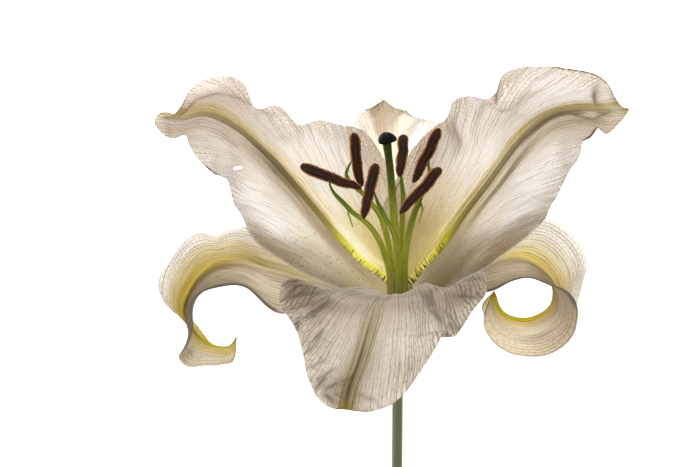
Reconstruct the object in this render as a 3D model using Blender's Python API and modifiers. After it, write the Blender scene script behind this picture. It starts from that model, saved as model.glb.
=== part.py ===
"""A cut lily lying on a table: six tepals, six stamens, a pistil and a bare stem.

Everything is first laid out along the flower's own axes, in millimetres from the point where the
tepals join: across (to the right), back (away from the front petal) and along (up the flower).
The flower is then laid down, so that its axis rises AXIS_RISE degrees from the table, with the front
petal on top, and it rests on the back petals' margins and on its stem.
"""

import math

import bmesh
import bpy
import numpy as np
from mathutils import Matrix, Vector

MM = 0.001
GAP = 0.3

AXIS_RISE = 20.0
BASE_HEIGHT = 28.0
ORIGIN_SHIFT = (-2.2, 1.8, 0.0)

PETAL_THICKNESS = 0.8
PETAL_RING = 5.0
SEPAL_RING = 5.9
CLAW_HALF_WIDTH = 2.2
CLAW_LIFT = 0.7
PETAL_BULGE = 3.0
SEPAL_BULGE = 2.0
MIDRIB_CHANNEL = 1.0
CHANNEL_SHARE = 0.12
FRILL = 0.8
FRILL_COUNT = 6
PETAL_GRID = (32, 12)
SEPAL_GRID = (32, 8)
COLUMN_CROWDING = 1.3

STEM_RADIUS = 2.3
RECEPTACLE_RADIUS = 7.0
STYLE_RADIUS = 1.6
OVARY_RADIUS = 2.0
FILAMENT_RING = 3.4
FILAMENT_BASE_RADIUS = 1.0
FILAMENT_TIP_RADIUS = 0.45
ANTHER_HALF_WIDTH = 2.3
ANTHER_HALF_DEPTH = 2.0
STIGMA_RADIUS = 3.9
STIGMA_HEIGHT = 5.2
STIGMA_LOBE = 0.08
STEM_POINTS = 16
PISTIL_POINTS = 22
FILAMENT_POINTS = 15

IVORY = (0.86, 0.83, 0.74, 1.0)
GREENISH_IVORY = (0.80, 0.79, 0.58, 1.0)
STEM_GREEN = (0.16, 0.20, 0.12, 1.0)
FILAMENT_GREEN = (0.24, 0.31, 0.06, 1.0)
STYLE_GREEN = (0.27, 0.33, 0.05, 1.0)
ANTHER_BROWN = (0.07, 0.02, 0.012, 1.0)
STIGMA_PURPLE = (0.02, 0.012, 0.02, 1.0)

# The receptacle's profile: how far along the flower's axis, and how thick
NECK = [(-GAP, RECEPTACLE_RADIUS), (-2.0, 6.6), (-5.0, 4.6), (-9.0, 3.0), (-14.0, STEM_RADIUS)]

# The stem's middle line below the neck, as distance behind the receptacle and height over the table
STEM_BEND = [(-20.7, 20.5), (-42.0, 12.7), (-58.0, 7.1), (-73.0, 3.5), (-88.0, 2.4), (-103.0, 2.35)]

# Points on the flower's axes, as (across, back, along)
OVARY_PATH = [(0.0, 0.0, 0.0), (0.0, 0.0, 12.0), (0.0, 0.0, 24.0)]
STYLE_PATH = [(-1.5, 0.5, 38.0), (-2.5, 1.0, 51.0), (-3.5, 1.5, 63.0), (-5.0, 2.0, 75.5)]

# Each stamen's place round the pistil in degrees, its stalk's path, and its anther's two ends
STAMENS = [
    (210, [(-4, -3, 22), (-5.5, -4, 27.5), (-7.5, -5.5, 34), (-11, -7.5, 41), (-15, -9.5, 46),
           (-19.5, -11, 50), (-23, -12.5, 54.5), (-26, -13.5, 58), (-28, -14, 61.5), (-29, -14, 64)],
     [(-40.5, -10, 69.5), (-15.5, -13, 60.5)]),
    (150, [(-3, 4, 22.5), (-4, 6, 29), (-5.5, 8, 35), (-7.5, 10, 40.5), (-11, 12, 45), (-15.5, 13.5, 50),
           (-20, 14.5, 54), (-22.5, 15, 57), (-22, 15, 60), (-20.5, 15, 63)],
     [(-19, 12, 76.5), (-15.5, 17, 51)]),
    (270, [(0, -5, 25.5), (-1, -7.5, 35), (-3, -10.5, 42.5), (-5.5, -13, 47.5), (-7.5, -15.5, 52.5),
           (-9, -17.5, 56.5), (-11, -19, 61.5)],
     [(-9.5, -13, 71.5), (-15, -24, 51.5)]),
    (90, [(1, 6, 21.5), (1, 9, 28), (1.5, 12, 34.5), (2, 15, 41.5), (2, 17.5, 48), (1.5, 19, 52.5),
          (1, 20, 57.5)],
     [(2.5, 28, 70.5), (0.5, 15, 56)]),
    (30, [(2, 3, 19), (3, 4, 27), (4, 5.5, 33.5), (5.5, 7.5, 39.5), (8, 9.5, 46), (11, 11, 52.5),
          (13, 12, 58.5), (12.5, 12.5, 62.5), (13, 13, 65.5)],
     [(17, 10, 79), (6, 14, 54)]),
    (330, [(2.5, -3, 21.5), (3, -5, 30), (4, -7, 37.5), (5.5, -9, 45), (7, -11, 50.5), (8.5, -12.5, 54.5),
           (9, -13.5, 57.5)],
     [(17, -10, 68.5), (0, -16, 51)]),
]

# Each tepal's place round the flower in degrees, and its midrib and margins from claw to tip, with
# rows of (fraction of the blade's length, across, back, along)
TEPALS = {
    "petal_left": {
        "azimuth": 148,
        "midrib": [
            (0.1, -7.5, 4, 12.5), (0.24, -19.5, 9.5, 24.5), (0.36, -30.5, 15.5, 36),
            (0.48, -42.5, 22, 49), (0.6, -56, 29.5, 62.5), (0.71, -70, 37.5, 72),
            (0.81, -83, 45, 74.5), (0.89, -93, 50, 70.5), (0.95, -99, 52, 70.5), (1, -104.5, 53, 69),
        ],
        "front": [
            (0.04, -9, -1.5, 6), (0.1, -19, -10, 13.5), (0.24, -39.5, -15, 25), (0.36, -53, -13.5, 33),
            (0.44, -62, -9, 40.5), (0.5, -65.5, -1, 45), (0.56, -68.5, 6, 48.5), (0.61, -71.5, 13, 55),
            (0.66, -77, 20, 55.5), (0.71, -83, 27, 58.5), (0.77, -88, 34, 63), (0.82, -90, 40, 66),
            (0.88, -96, 45, 63.5), (0.95, -102, 50, 65), (1, -104.5, 53, 69),
        ],
        "back": [
            (0.1, -0.5, 13, 19), (0.22, 1, 24, 33), (0.34, -2.5, 33, 52), (0.43, -13.5, 40, 67.5),
            (0.5, -23.5, 43, 70.5), (0.56, -33, 46, 71.5), (0.62, -42.5, 47, 68.5),
            (0.67, -50.5, 53, 76), (0.71, -60, 51, 76), (0.76, -66, 57, 84), (0.82, -75, 60, 87),
            (0.88, -86, 59, 84), (0.93, -92, 56.5, 75.5), (0.97, -97.5, 54.5, 71), (1, -104.5, 53, 69),
        ],
    },
    "petal_right": {
        "azimuth": 28,
        "midrib": [
            (0.1, 7.5, 4.5, 12.5), (0.24, 19, 10, 27.5), (0.36, 28, 15, 40), (0.48, 38.5, 21, 52.5),
            (0.6, 51.5, 29, 68), (0.71, 64.5, 37, 77), (0.81, 77.5, 44, 77.5), (0.9, 90.5, 50.5, 74.5),
            (1, 100, 55, 73.5),
        ],
        "front": [
            (0.04, 8.5, -1.5, 6), (0.1, 17.5, -10, 14), (0.2, 29.5, -15, 23.5), (0.28, 38, -18, 29.5),
            (0.36, 46, -18.5, 36.5), (0.44, 55, -16, 43.5), (0.49, 60.5, -12, 47),
            (0.53, 62.5, -5, 50), (0.58, 66, 3, 53), (0.63, 70.5, 11, 58.5), (0.69, 76, 20, 63.5),
            (0.74, 78, 28, 67.5), (0.78, 81.5, 33, 67.5), (0.82, 84.5, 38, 69.5), (0.88, 89.5, 43, 66),
            (0.94, 95.5, 50, 69), (1, 100, 55, 73.5),
        ],
        "back": [
            (0.1, 2, 10, 20), (0.22, -6, 17, 38.5), (0.34, -2, 27, 48), (0.42, 6.5, 34, 62),
            (0.5, 16.5, 40, 71), (0.56, 21, 43, 73.5), (0.6, 24.5, 46, 79.5), (0.64, 31, 48, 81),
            (0.69, 38.5, 50, 79.5), (0.73, 42.5, 52, 82.5), (0.76, 44.5, 55, 87), (0.8, 50.5, 58, 90),
            (0.85, 61.5, 61, 91.5), (0.89, 72.5, 61.5, 89.5), (0.93, 86, 60.5, 86.5),
            (0.96, 92, 58, 81), (0.98, 93, 56.5, 75), (1, 100, 55, 73.5),
        ],
    },
    "petal_front": {
        "azimuth": 268,
        "midrib": [
            (0.1, -1, -17, 12.5), (0.21, -2.5, -33, 22.5), (0.32, -5, -49, 28.5), (0.42, -8, -62, 32),
            (0.52, -10, -73, 33), (0.61, -12, -82, 30), (0.7, -14, -89, 25), (0.8, -16.5, -93.5, 17.5),
            (0.9, -20, -95, 8), (1, -22, -93, -2.5),
        ],
        "front": [
            (0.1, -9.5, -14, 10.5), (0.21, -19.5, -30, 20.5), (0.3, -28, -43, 28),
            (0.38, -36, -55, 35.5), (0.44, -42, -63, 40.5), (0.49, -46.5, -68, 39.5),
            (0.54, -47.5, -73, 35.5), (0.6, -44.5, -79, 31.5), (0.66, -41, -84, 27),
            (0.77, -38, -90, 18), (0.85, -36, -92, 9.5), (0.92, -32.5, -93, 2), (0.97, -27, -93, -2),
            (1, -22, -93, -2.5),
        ],
        "back": [
            (0.1, 9, -15, 11.5), (0.21, 17.5, -31, 21.5), (0.3, 23, -43, 30), (0.38, 27.5, -53, 37),
            (0.44, 32.5, -60, 41.5), (0.49, 33.5, -65, 39), (0.55, 31.5, -72, 36),
            (0.61, 26.5, -78, 31), (0.66, 20.5, -83, 24.5), (0.7, 16.5, -84, 27.5),
            (0.75, 14, -87, 23.5), (0.82, 8.5, -90, 14.5), (0.89, 1, -92, 4), (0.94, -6.5, -93, -1.5),
            (0.975, -14.5, -93, -3.5), (1, -22, -93, -2.5),
        ],
    },
    "sepal_left": {
        "azimuth": 208,
        "midrib": [
            (0.1, -14.5, -5, 6.5), (0.2, -27, -6.5, 16), (0.3, -41, -10, 21), (0.4, -54, -14, 26),
            (0.49, -65, -19, 31.5), (0.56, -74, -23, 32), (0.63, -82, -26, 27), (0.7, -87, -28, 19),
            (0.76, -88.5, -29, 11.5), (0.82, -86, -28, 5), (0.87, -82, -26.5, -0.5),
            (0.92, -76, -25, -4.5), (0.96, -70, -23.5, -5), (1, -67, -22.5, -0.5),
        ],
        "front": [
            (0.1, -17, -12, 6), (0.2, -29, -20, 12), (0.3, -40.5, -26, 13), (0.38, -49.5, -31, 13.5),
            (0.44, -57.5, -35, 22), (0.5, -64.5, -38, 27.5), (0.57, -74.5, -42, 29.5),
            (0.64, -81.5, -44, 25.5), (0.71, -85, -45, 19), (0.76, -85, -44, 11),
            (0.8, -86.5, -42, 2.5), (0.83, -89.5, -41, -1.5), (0.87, -86.5, -38, -7.5),
            (0.91, -79.5, -35, -8.5), (0.95, -73, -31, -9.5), (0.985, -67.5, -26, -7.5),
            (1, -67, -22.5, -0.5),
        ],
        "back": [
            (0.1, -15, 4, 7), (0.2, -28.5, 8, 17), (0.3, -44, 6, 27), (0.38, -57, 1, 35.5),
            (0.44, -63, -3, 40), (0.5, -69.5, -7, 42), (0.545, -76.5, -10, 40.5),
            (0.58, -82, -11, 41.5), (0.63, -89, -13, 38.5), (0.68, -94.5, -15, 32),
            (0.725, -98, -16.5, 25), (0.765, -98.5, -17, 18.5), (0.8, -96.5, -17, 12),
            (0.83, -92.5, -17.5, 7), (0.86, -87.5, -18, 5.5), (0.9, -83, -18.5, 1.5),
            (0.94, -79, -18, -8.5), (0.97, -72, -20, -8.5), (1, -67, -22.5, -0.5),
        ],
    },
    "sepal_right": {
        "azimuth": 328,
        "midrib": [
            (0.1, 13.5, -5, 6.5), (0.2, 23.5, -6.5, 17), (0.3, 33, -9, 24.5), (0.4, 41.5, -13, 30.5),
            (0.47, 49.5, -16, 32.5), (0.54, 57, -20, 30.5), (0.61, 63, -23.5, 25),
            (0.66, 64.5, -25.5, 20.5), (0.71, 63.5, -26, 14.5), (0.76, 60, -26, 10.5),
            (0.81, 54.5, -25, 7.5), (0.86, 49, -24, 7), (0.91, 43.5, -23, 9), (0.96, 40.5, -22, 13),
            (1, 39, -21, 19),
        ],
        "front": [
            (0.1, 14, -12, 6), (0.2, 24, -20, 13.5), (0.3, 30.5, -26, 18.5), (0.38, 36, -31, 23),
            (0.45, 43.5, -35, 27.5), (0.51, 52.5, -38.5, 31), (0.57, 60.5, -41, 30),
            (0.62, 66, -43, 27.5), (0.66, 70, -43, 22.5), (0.7, 72, -43, 16.5), (0.74, 71, -43, 9),
            (0.78, 66, -42, 3), (0.82, 59, -41, -1), (0.86, 51, -39, -2.5), (0.9, 43.5, -37, -1.5),
            (0.935, 37.5, -34, 2.5), (0.965, 34.5, -30, 9), (0.985, 36, -26, 14.5), (1, 39, -21, 19),
        ],
        "back": [
            (0.1, 14, 4, 7), (0.2, 22.5, 8, 18), (0.3, 35.5, 6, 28), (0.38, 46.5, 1, 38.5),
            (0.45, 56.5, -3, 44), (0.5, 63.5, -6.5, 45), (0.55, 70.5, -9, 41), (0.6, 75.5, -11, 34),
            (0.645, 77.5, -12.5, 27.5), (0.69, 77, -13, 21), (0.735, 75, -13.5, 15),
            (0.77, 72, -14, 8.5), (0.82, 62, -14, 1), (0.88, 50.5, -13, -2.5), (0.93, 40, -14, 0),
            (0.96, 35, -16, 7), (0.985, 35, -19, 13.5), (1, 39, -21, 19),
        ],
    },
    "sepal_back": {
        "azimuth": 88,
        "midrib": [
            (0.12, 0, 15, 9), (0.25, 0, 25, 23), (0.38, -1, 33.5, 37), (0.5, -2, 40.5, 51.5),
            (0.6, -4, 46.5, 65.5), (0.67, -5, 50.5, 74.5), (0.72, -6, 53.5, 78.5), (0.77, -6.5, 55, 77),
            (0.83, -6.5, 53.5, 72.5), (0.91, -6, 50, 65.5), (1, -5, 48, 59.5),
        ],
        "front": [
            (0.12, -6, 12, 9.5), (0.25, -11, 22.5, 21.5), (0.38, -16, 32, 36.5),
            (0.5, -19.5, 40, 51.5), (0.58, -20, 45.5, 62.5), (0.64, -19, 49, 68.5),
            (0.7, -16, 53, 71.5), (0.76, -13.5, 54.5, 73.5), (0.84, -11.5, 53, 70.5), (0.92, -9, 50, 64),
            (1, -5, 48, 59.5),
        ],
        "back": [
            (0.12, 6.5, 12, 9.5), (0.25, 10.5, 22.5, 21.5), (0.38, 15, 32, 36.5),
            (0.5, 18.5, 40, 51.5), (0.58, 21, 45.5, 62.5), (0.64, 19, 49, 68.5), (0.7, 9, 53, 70),
            (0.76, 2, 54.5, 72.5), (0.84, -0.5, 53, 69.5), (0.92, -2, 50, 63.5), (1, -5, 48, 59.5),
        ],
    },
}


def flower_point(across, back, along):
    """Millimetres along the flower's axes to metres over the table."""
    rise = math.radians(AXIS_RISE)
    x = across
    y = math.sin(rise) * back + math.cos(rise) * along
    z = BASE_HEIGHT - math.cos(rise) * back + math.sin(rise) * along
    return Vector((x, y, z)) * MM - Vector(ORIGIN_SHIFT) * MM


def smooth_line(rows, at):
    """The point at a fraction of a guide line, on a smooth curve through all its points."""
    knots = rows[:, 0]
    points = rows[:, 1:]
    steps = np.diff(knots)
    slopes = np.diff(points, axis=0) / steps[:, None]
    tangents = np.empty_like(points)
    weights = steps[1:] + steps[:-1]
    tangents[1:-1] = (slopes[:-1] * steps[1:, None] + slopes[1:] * steps[:-1, None]) / weights[:, None]
    tangents[0] = 1.5 * slopes[0] - 0.5 * tangents[1]
    tangents[-1] = 1.5 * slopes[-1] - 0.5 * tangents[-2]
    i = int(np.clip(np.searchsorted(knots, at, side="right") - 1, 0, len(knots) - 2))
    u = (at - knots[i]) / steps[i]
    start = (2 * u**3 - 3 * u**2 + 1) * points[i] + (u**3 - 2 * u**2 + u) * steps[i] * tangents[i]
    end = (3 * u**2 - 2 * u**3) * points[i + 1] + (u**3 - u**2) * steps[i] * tangents[i + 1]
    return start + end


def claw_row(azimuth, ring, sideways):
    """A guide line's first point, where the tepal joins the flower."""
    angle = math.radians(azimuth)
    outward = np.array([math.cos(angle), math.sin(angle)])
    along_ring = np.array([-math.sin(angle), math.cos(angle)])
    place = ring * outward + sideways * along_ring
    return [0.0, place[0], place[1], CLAW_LIFT]


def guide_lines(shape, ring):
    """Midrib and both margins, each with its first point on the ring, and the way the margins turn."""
    angle = math.radians(shape["azimuth"])
    between = np.array(shape["front"][0][1:3]) - np.array(shape["back"][0][1:3])
    turn = 1.0 if np.dot(between, [-math.sin(angle), math.cos(angle)]) > 0 else -1.0
    lines = {}
    for name, sideways in (("midrib", 0.0), ("front", turn), ("back", -turn)):
        first = claw_row(shape["azimuth"], ring, sideways * CLAW_HALF_WIDTH)
        lines[name] = np.array([first] + [list(row) for row in shape[name]])
    return lines, turn


def outward_way(lines, turn, along, side):
    """The blade's outer side in one half, square to its midrib and to the line out to its margin."""
    ahead = smooth_line(lines["midrib"], min(along + 0.01, 1.0))
    behind = smooth_line(lines["midrib"], max(along - 0.01, 0.0))
    margin = smooth_line(lines["front" if side < 0 else "back"], along)
    way = np.cross(ahead - behind, margin - smooth_line(lines["midrib"], along))
    length = np.linalg.norm(way)
    if length < 1e-9:
        return np.zeros(3)
    return way / length * (turn if side > 0 else -turn)


def tepal_point(lines, turn, bulge, along, side):
    """A place on the blade: along runs 0 to 1 from claw to tip, side -1 to 1 from front to back margin."""
    middle = smooth_line(lines["midrib"], along)
    margin = smooth_line(lines["front" if side < 0 else "back"], along)
    share = abs(side)
    if share < 1e-6:
        outward = outward_way(lines, turn, along, -1) / 2 + outward_way(lines, turn, along, 1) / 2
    else:
        outward = outward_way(lines, turn, along, side)
    fade = min(1.0, 6 * along * (1 - along))
    swell = bulge * 4 * along * (1 - along) * 4 * share * (1 - share)
    channel = MIDRIB_CHANNEL * fade * math.exp(-((share / CHANNEL_SHARE) ** 2))
    wave = math.sin(2 * math.pi * FRILL_COUNT * along + side)
    frill = FRILL * fade * min(1.0, 2 * along) * share**3 * wave
    return middle + (margin - middle) * share + outward * (swell + channel + frill)


def make_tepal(name, shape, ring, bulge, size, colour, collection):
    """A thin blade stretched between its midrib and its two margins."""
    rows, columns = size
    lines, turn = guide_lines(shape, ring)
    grid = bmesh.new()
    bmesh.ops.create_grid(grid, x_segments=columns, y_segments=rows, size=1.0)
    for vertex in grid.verts:
        side = math.copysign(abs(vertex.co.x) ** COLUMN_CROWDING, vertex.co.x)
        place = tepal_point(lines, turn, bulge, (vertex.co.y + 1) / 2, side)
        vertex.co = flower_point(*place)
    bmesh.ops.remove_doubles(grid, verts=grid.verts, dist=0.00001)
    bmesh.ops.triangulate(grid, faces=grid.faces)
    tepal = add_mesh(name, grid, colour, 0.5, collection)
    skin = tepal.modifiers.new("Thickness", "SOLIDIFY")
    skin.thickness = PETAL_THICKNESS * MM
    skin.offset = 0.0
    return tepal


def make_material(name, colour, roughness):
    material = bpy.data.materials.new(name)
    material.use_nodes = True
    material.diffuse_color = colour
    shader = material.node_tree.nodes["Principled BSDF"]
    shader.inputs["Base Color"].default_value = colour
    shader.inputs["Roughness"].default_value = roughness
    shader.inputs["Metallic"].default_value = 0.0
    return material


def add_mesh(name, shape, colour, roughness, collection):
    mesh = bpy.data.meshes.new(name)
    shape.to_mesh(mesh)
    shape.free()
    mesh.shade_smooth()
    mesh.materials.append(make_material(name, colour, roughness))
    thing = bpy.data.objects.new(name, mesh)
    collection.objects.link(thing)
    return thing


def add_tube(name, points, radii, sides_level, colour, roughness, collection):
    """A round tube with closed ends through the points, as thick at each as its radius."""
    curve = bpy.data.curves.new(name, "CURVE")
    curve.dimensions = "3D"
    curve.bevel_depth = MM
    curve.bevel_resolution = sides_level
    curve.use_fill_caps = True
    line = curve.splines.new("POLY")
    line.points.add(len(points) - 1)
    for knot, point, radius in zip(line.points, points, radii):
        knot.co = (*point, 1.0)
        knot.radius = radius
    curve.materials.append(make_material(name, colour, roughness))
    thing = bpy.data.objects.new(name, curve)
    collection.objects.link(thing)
    return thing


def evenly(rows, count):
    """Points at even steps along a smooth curve through hand-placed points."""
    rows = np.array(rows, dtype=float)
    lengths = np.linalg.norm(np.diff(rows, axis=0), axis=1)
    knots = np.concatenate([[0.0], np.cumsum(lengths)]) / lengths.sum()
    line = np.column_stack([knots, rows])
    return [smooth_line(line, at) for at in np.linspace(0.0, 1.0, count)]


def make_stem(collection):
    """The receptacle that carries the tepals, and the stem that bends down to lie on the table."""
    shift = Vector(ORIGIN_SHIFT) * MM
    bend = evenly(STEM_BEND, STEM_POINTS)
    path = [flower_point(0.0, 0.0, along) for along, _ in NECK]
    path += [Vector((0.0, y, z)) * MM - shift for y, z in bend]
    radii = [radius for _, radius in NECK] + [STEM_RADIUS] * STEM_POINTS
    return add_tube("stem", path, radii, 4, STEM_GREEN, 0.55, collection)


def make_pistil(collection):
    """The ovary and the style in one tube, which widens a little under the stigma."""
    points = evenly(OVARY_PATH + STYLE_PATH, PISTIL_POINTS)
    radii = [radius_on_pistil(place[2]) for place in points]
    return add_tube("pistil", [flower_point(*p) for p in points], radii, 3, STYLE_GREEN, 0.4, collection)


def radius_on_pistil(along):
    if along < 16.0:
        return OVARY_RADIUS
    if along > 70.0:
        return STYLE_RADIUS + 0.3 * (along - 70.0) / 6.0
    return STYLE_RADIUS


def make_stigma(collection):
    """A head with three blunt lobes, standing on the end of the style."""
    end = np.array(STYLE_PATH[-1])
    way = end - np.array(STYLE_PATH[-2])
    axis = Vector(flower_point(*(end + way))) - Vector(flower_point(*end))
    head = bmesh.new()
    bmesh.ops.create_uvsphere(head, u_segments=18, v_segments=10, radius=1.0)
    for vertex in head.verts:
        turn = math.atan2(vertex.co.y, vertex.co.x)
        round_out = math.hypot(vertex.co.x, vertex.co.y)
        lobe = 1 - STIGMA_LOBE + STIGMA_LOBE * math.cos(3 * turn)
        vertex.co.x *= STIGMA_RADIUS * lobe
        vertex.co.y *= STIGMA_RADIUS * lobe
        vertex.co.z = STIGMA_HEIGHT / 2 * (vertex.co.z - 0.12 * (1 - round_out))
    spin = axis.to_track_quat("Z", "Y").to_matrix().to_4x4()
    rise = STIGMA_HEIGHT / 2 + GAP + 0.4
    centre = flower_point(*end) + axis.normalized() * rise * MM
    head.transform(Matrix.Translation(centre) @ spin @ Matrix.Scale(MM, 4))
    return add_mesh("stigma", head, STIGMA_PURPLE, 0.6, collection)


def make_filament(number, azimuth, path, anther, collection):
    """A thin stalk from the ring round the ovary to the side of its anther."""
    angle = math.radians(azimuth)
    foot = (FILAMENT_RING * math.cos(angle), FILAMENT_RING * math.sin(angle), 0.0)
    knee = (1.06 * foot[0], 1.06 * foot[1], 9.0)
    tip = filament_end(path[-1], anther)
    points = evenly([foot, knee] + path[:-1] + [tuple(tip)], FILAMENT_POINTS)
    radii = np.linspace(FILAMENT_BASE_RADIUS, FILAMENT_TIP_RADIUS, FILAMENT_POINTS)
    placed = [flower_point(*p) for p in points]
    return add_tube(f"filament_{number}", placed, radii, 2, FILAMENT_GREEN, 0.45, collection)


def filament_end(near, anther):
    """Just clear of the anther's side, at the height where the stalk comes to it."""
    start, end = np.array(anther[0]), np.array(anther[1])
    way = (end - start) / np.linalg.norm(end - start)
    foot = start + way * np.dot(np.array(near) - start, way)
    out = np.array(near) - foot
    return foot + out / np.linalg.norm(out) * (ANTHER_HALF_WIDTH + 2 * GAP)


def make_anther(number, near, anther, collection):
    """A two-lobed spindle with blunt ends, between the two end points."""
    start, end = flower_point(*anther[0]), flower_point(*anther[1])
    axis = end - start
    side = flower_point(*near) - (start + end) / 2
    spindle = bmesh.new()
    bmesh.ops.create_uvsphere(spindle, u_segments=12, v_segments=10, radius=1.0)
    half_length = axis.length / MM / 2
    for vertex in spindle.verts:
        belly = max(0.0, 1 - abs(vertex.co.z) ** 3.6) ** 0.5
        flat = math.hypot(vertex.co.x, vertex.co.y)
        turn = math.atan2(vertex.co.y, vertex.co.x)
        lobe = 0.94 + 0.06 * math.cos(2 * turn)
        if flat > 1e-6:
            vertex.co.x *= belly / flat * ANTHER_HALF_WIDTH * lobe
            vertex.co.y *= belly / flat * ANTHER_HALF_DEPTH * lobe
        vertex.co.z *= half_length
    turn_to = frame_along(axis, side)
    centre = (start + end) / 2
    spindle.transform(Matrix.Translation(centre) @ turn_to @ Matrix.Scale(MM, 4))
    return add_mesh(f"anther_{number}", spindle, ANTHER_BROWN, 0.8, collection)


def frame_along(axis, side):
    """A rotation with Z along the axis and Y towards the side."""
    z_way = axis.normalized()
    y_way = (side - z_way * side.dot(z_way)).normalized()
    x_way = y_way.cross(z_way)
    return Matrix((x_way, y_way, z_way)).transposed().to_4x4()


def build():
    for thing in list(bpy.data.objects):
        bpy.data.objects.remove(thing, do_unlink=True)
    collection = bpy.data.collections.new("lily")
    bpy.context.scene.collection.children.link(collection)
    make_stem(collection)
    for name, shape in TEPALS.items():
        if name.startswith("petal"):
            make_tepal(name, shape, PETAL_RING, PETAL_BULGE, PETAL_GRID, IVORY, collection)
        else:
            make_tepal(name, shape, SEPAL_RING, SEPAL_BULGE, SEPAL_GRID, GREENISH_IVORY, collection)
    make_pistil(collection)
    make_stigma(collection)
    for number, (azimuth, path, anther) in enumerate(STAMENS, start=1):
        make_filament(number, azimuth, path, anther, collection)
        make_anther(number, path[-1], anther, collection)


build()
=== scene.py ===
import math
import random

import bpy
import numpy as np
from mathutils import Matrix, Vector, noise


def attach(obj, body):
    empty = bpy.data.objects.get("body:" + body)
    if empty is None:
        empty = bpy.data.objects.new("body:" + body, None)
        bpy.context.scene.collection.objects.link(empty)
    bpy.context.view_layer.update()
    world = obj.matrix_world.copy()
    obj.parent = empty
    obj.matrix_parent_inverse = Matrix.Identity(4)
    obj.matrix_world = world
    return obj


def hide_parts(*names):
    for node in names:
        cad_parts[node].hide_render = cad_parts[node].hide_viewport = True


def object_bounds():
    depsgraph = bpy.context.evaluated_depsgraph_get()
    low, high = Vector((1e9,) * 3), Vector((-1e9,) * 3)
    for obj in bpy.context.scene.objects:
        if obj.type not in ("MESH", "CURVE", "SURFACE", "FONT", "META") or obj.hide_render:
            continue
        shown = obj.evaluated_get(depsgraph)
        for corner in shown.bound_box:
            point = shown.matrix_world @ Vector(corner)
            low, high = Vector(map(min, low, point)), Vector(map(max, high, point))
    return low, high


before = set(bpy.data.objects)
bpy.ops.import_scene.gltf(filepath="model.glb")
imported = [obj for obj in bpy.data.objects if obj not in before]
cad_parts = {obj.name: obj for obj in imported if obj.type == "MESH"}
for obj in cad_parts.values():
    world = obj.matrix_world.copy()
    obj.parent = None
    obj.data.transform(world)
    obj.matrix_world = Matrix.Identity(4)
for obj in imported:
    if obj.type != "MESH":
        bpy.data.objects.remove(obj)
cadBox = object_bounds()
mm = 0.001

# How the flower lies: its axis rises a little from the table, and its front petal is on top
pose = {
    "axisRise": 20.0,  # degrees
    "baseHeight": 28.0,  # mm from the table to the point where the tepals join
    "shift": (-2.2, 1.8, 0.0),  # mm from that point to the part's own origin
}


def onTable(places):
    # mm along the flower's axes (across, back, along) to metres over the table
    rise = math.radians(pose["axisRise"])
    across, back, along = places[..., 0], places[..., 1], places[..., 2]
    y = math.sin(rise) * back + math.cos(rise) * along
    z = pose["baseHeight"] - math.cos(rise) * back + math.sin(rise) * along
    return (np.stack([across, y, z], axis=-1) - np.array(pose["shift"])) * mm


# The camera looks straight down on the flower, as far off as the photograph's perspective asks
view = {
    "place": (-0.0180, 0.03244, 1.188),
    "lens": 142.0,
    "sensor": 36.0,
    "far": 60.0,
}
cameraData = bpy.data.cameras.new("lookingDown")
camera = bpy.data.objects.new("lookingDown", cameraData)
bpy.context.scene.collection.objects.link(camera)
camera.location = view["place"]
cameraData.lens = view["lens"]
cameraData.sensor_width = view["sensor"]
cameraData.clip_end = view["far"]
bpy.context.scene.camera = camera
print("camera set")


def put(tree, kind, values=None, **settings):
    # one shader node, with its settings, and its inputs fed by numbers or by other sockets
    node = tree.nodes.new("ShaderNode" + kind)
    for name, value in settings.items():
        setattr(node, name, value)
    for name, value in (values or {}).items():
        if isinstance(value, bpy.types.NodeSocket):
            tree.links.new(value, node.inputs[name])
        else:
            node.inputs[name].default_value = value
    return node


def calc(tree, operation, *terms):
    return put(tree, "Math", dict(enumerate(terms)), operation=operation).outputs[0]


def blendOf(tree, share, first, second, blend="MIX"):
    values = {0: share, 6: first, 7: second}
    return put(tree, "Mix", values, data_type="RGBA", blend_type=blend).outputs[2]


def rampOf(tree, value, low, high, toLow=0.0, toHigh=1.0):
    values = {"Value": value, "From Min": low, "From Max": high, "To Min": toLow, "To Max": toHigh}
    return put(tree, "MapRange", values, interpolation_type="SMOOTHSTEP").outputs["Result"]


def fallOf(tree, value, low, high, top=1.0):
    return rampOf(tree, value, low, high, top, 0.0)


def noiseOf(tree, place, scale, detail, **settings):
    return put(tree, "TexNoise", {"Vector": place, "Scale": scale, "Detail": detail}, **settings).outputs[0]


def placeOf(tree, *parts):
    return put(tree, "CombineXYZ", dict(enumerate(parts))).outputs[0]


def bumpOf(tree, height, strength, depth, below=None):
    values = {"Height": height, "Strength": strength, "Distance": depth * mm}
    if below:
        values["Normal"] = below
    return put(tree, "Bump", values).outputs[0]


def readKept(tree, name):
    # the three numbers that a mesh keeps for each of its points
    node = put(tree, "Attribute", attribute_name=name)
    return put(tree, "SeparateXYZ", {0: node.outputs["Vector"]}).outputs


def newGroup(name, inputs, outputs):
    # a shared effect: a node group with named numbers in and named masks out
    tree = bpy.data.node_groups.new(name, "ShaderNodeTree")
    for label, start in inputs.items():
        socket = tree.interface.new_socket(name=label, in_out="INPUT", socket_type="NodeSocketFloat")
        socket.default_value = start
    for label in outputs:
        tree.interface.new_socket(name=label, in_out="OUTPUT", socket_type="NodeSocketFloat")
    return tree, tree.nodes.new("NodeGroupInput"), tree.nodes.new("NodeGroupOutput")


def useGroup(tree, group, values):
    return put(tree, "Group", values, node_tree=group).outputs


def newMaterial(name):
    material = bpy.data.materials.new(name)
    material.use_nodes = True
    return material, material.node_tree, material.node_tree.nodes["Principled BSDF"]


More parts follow.
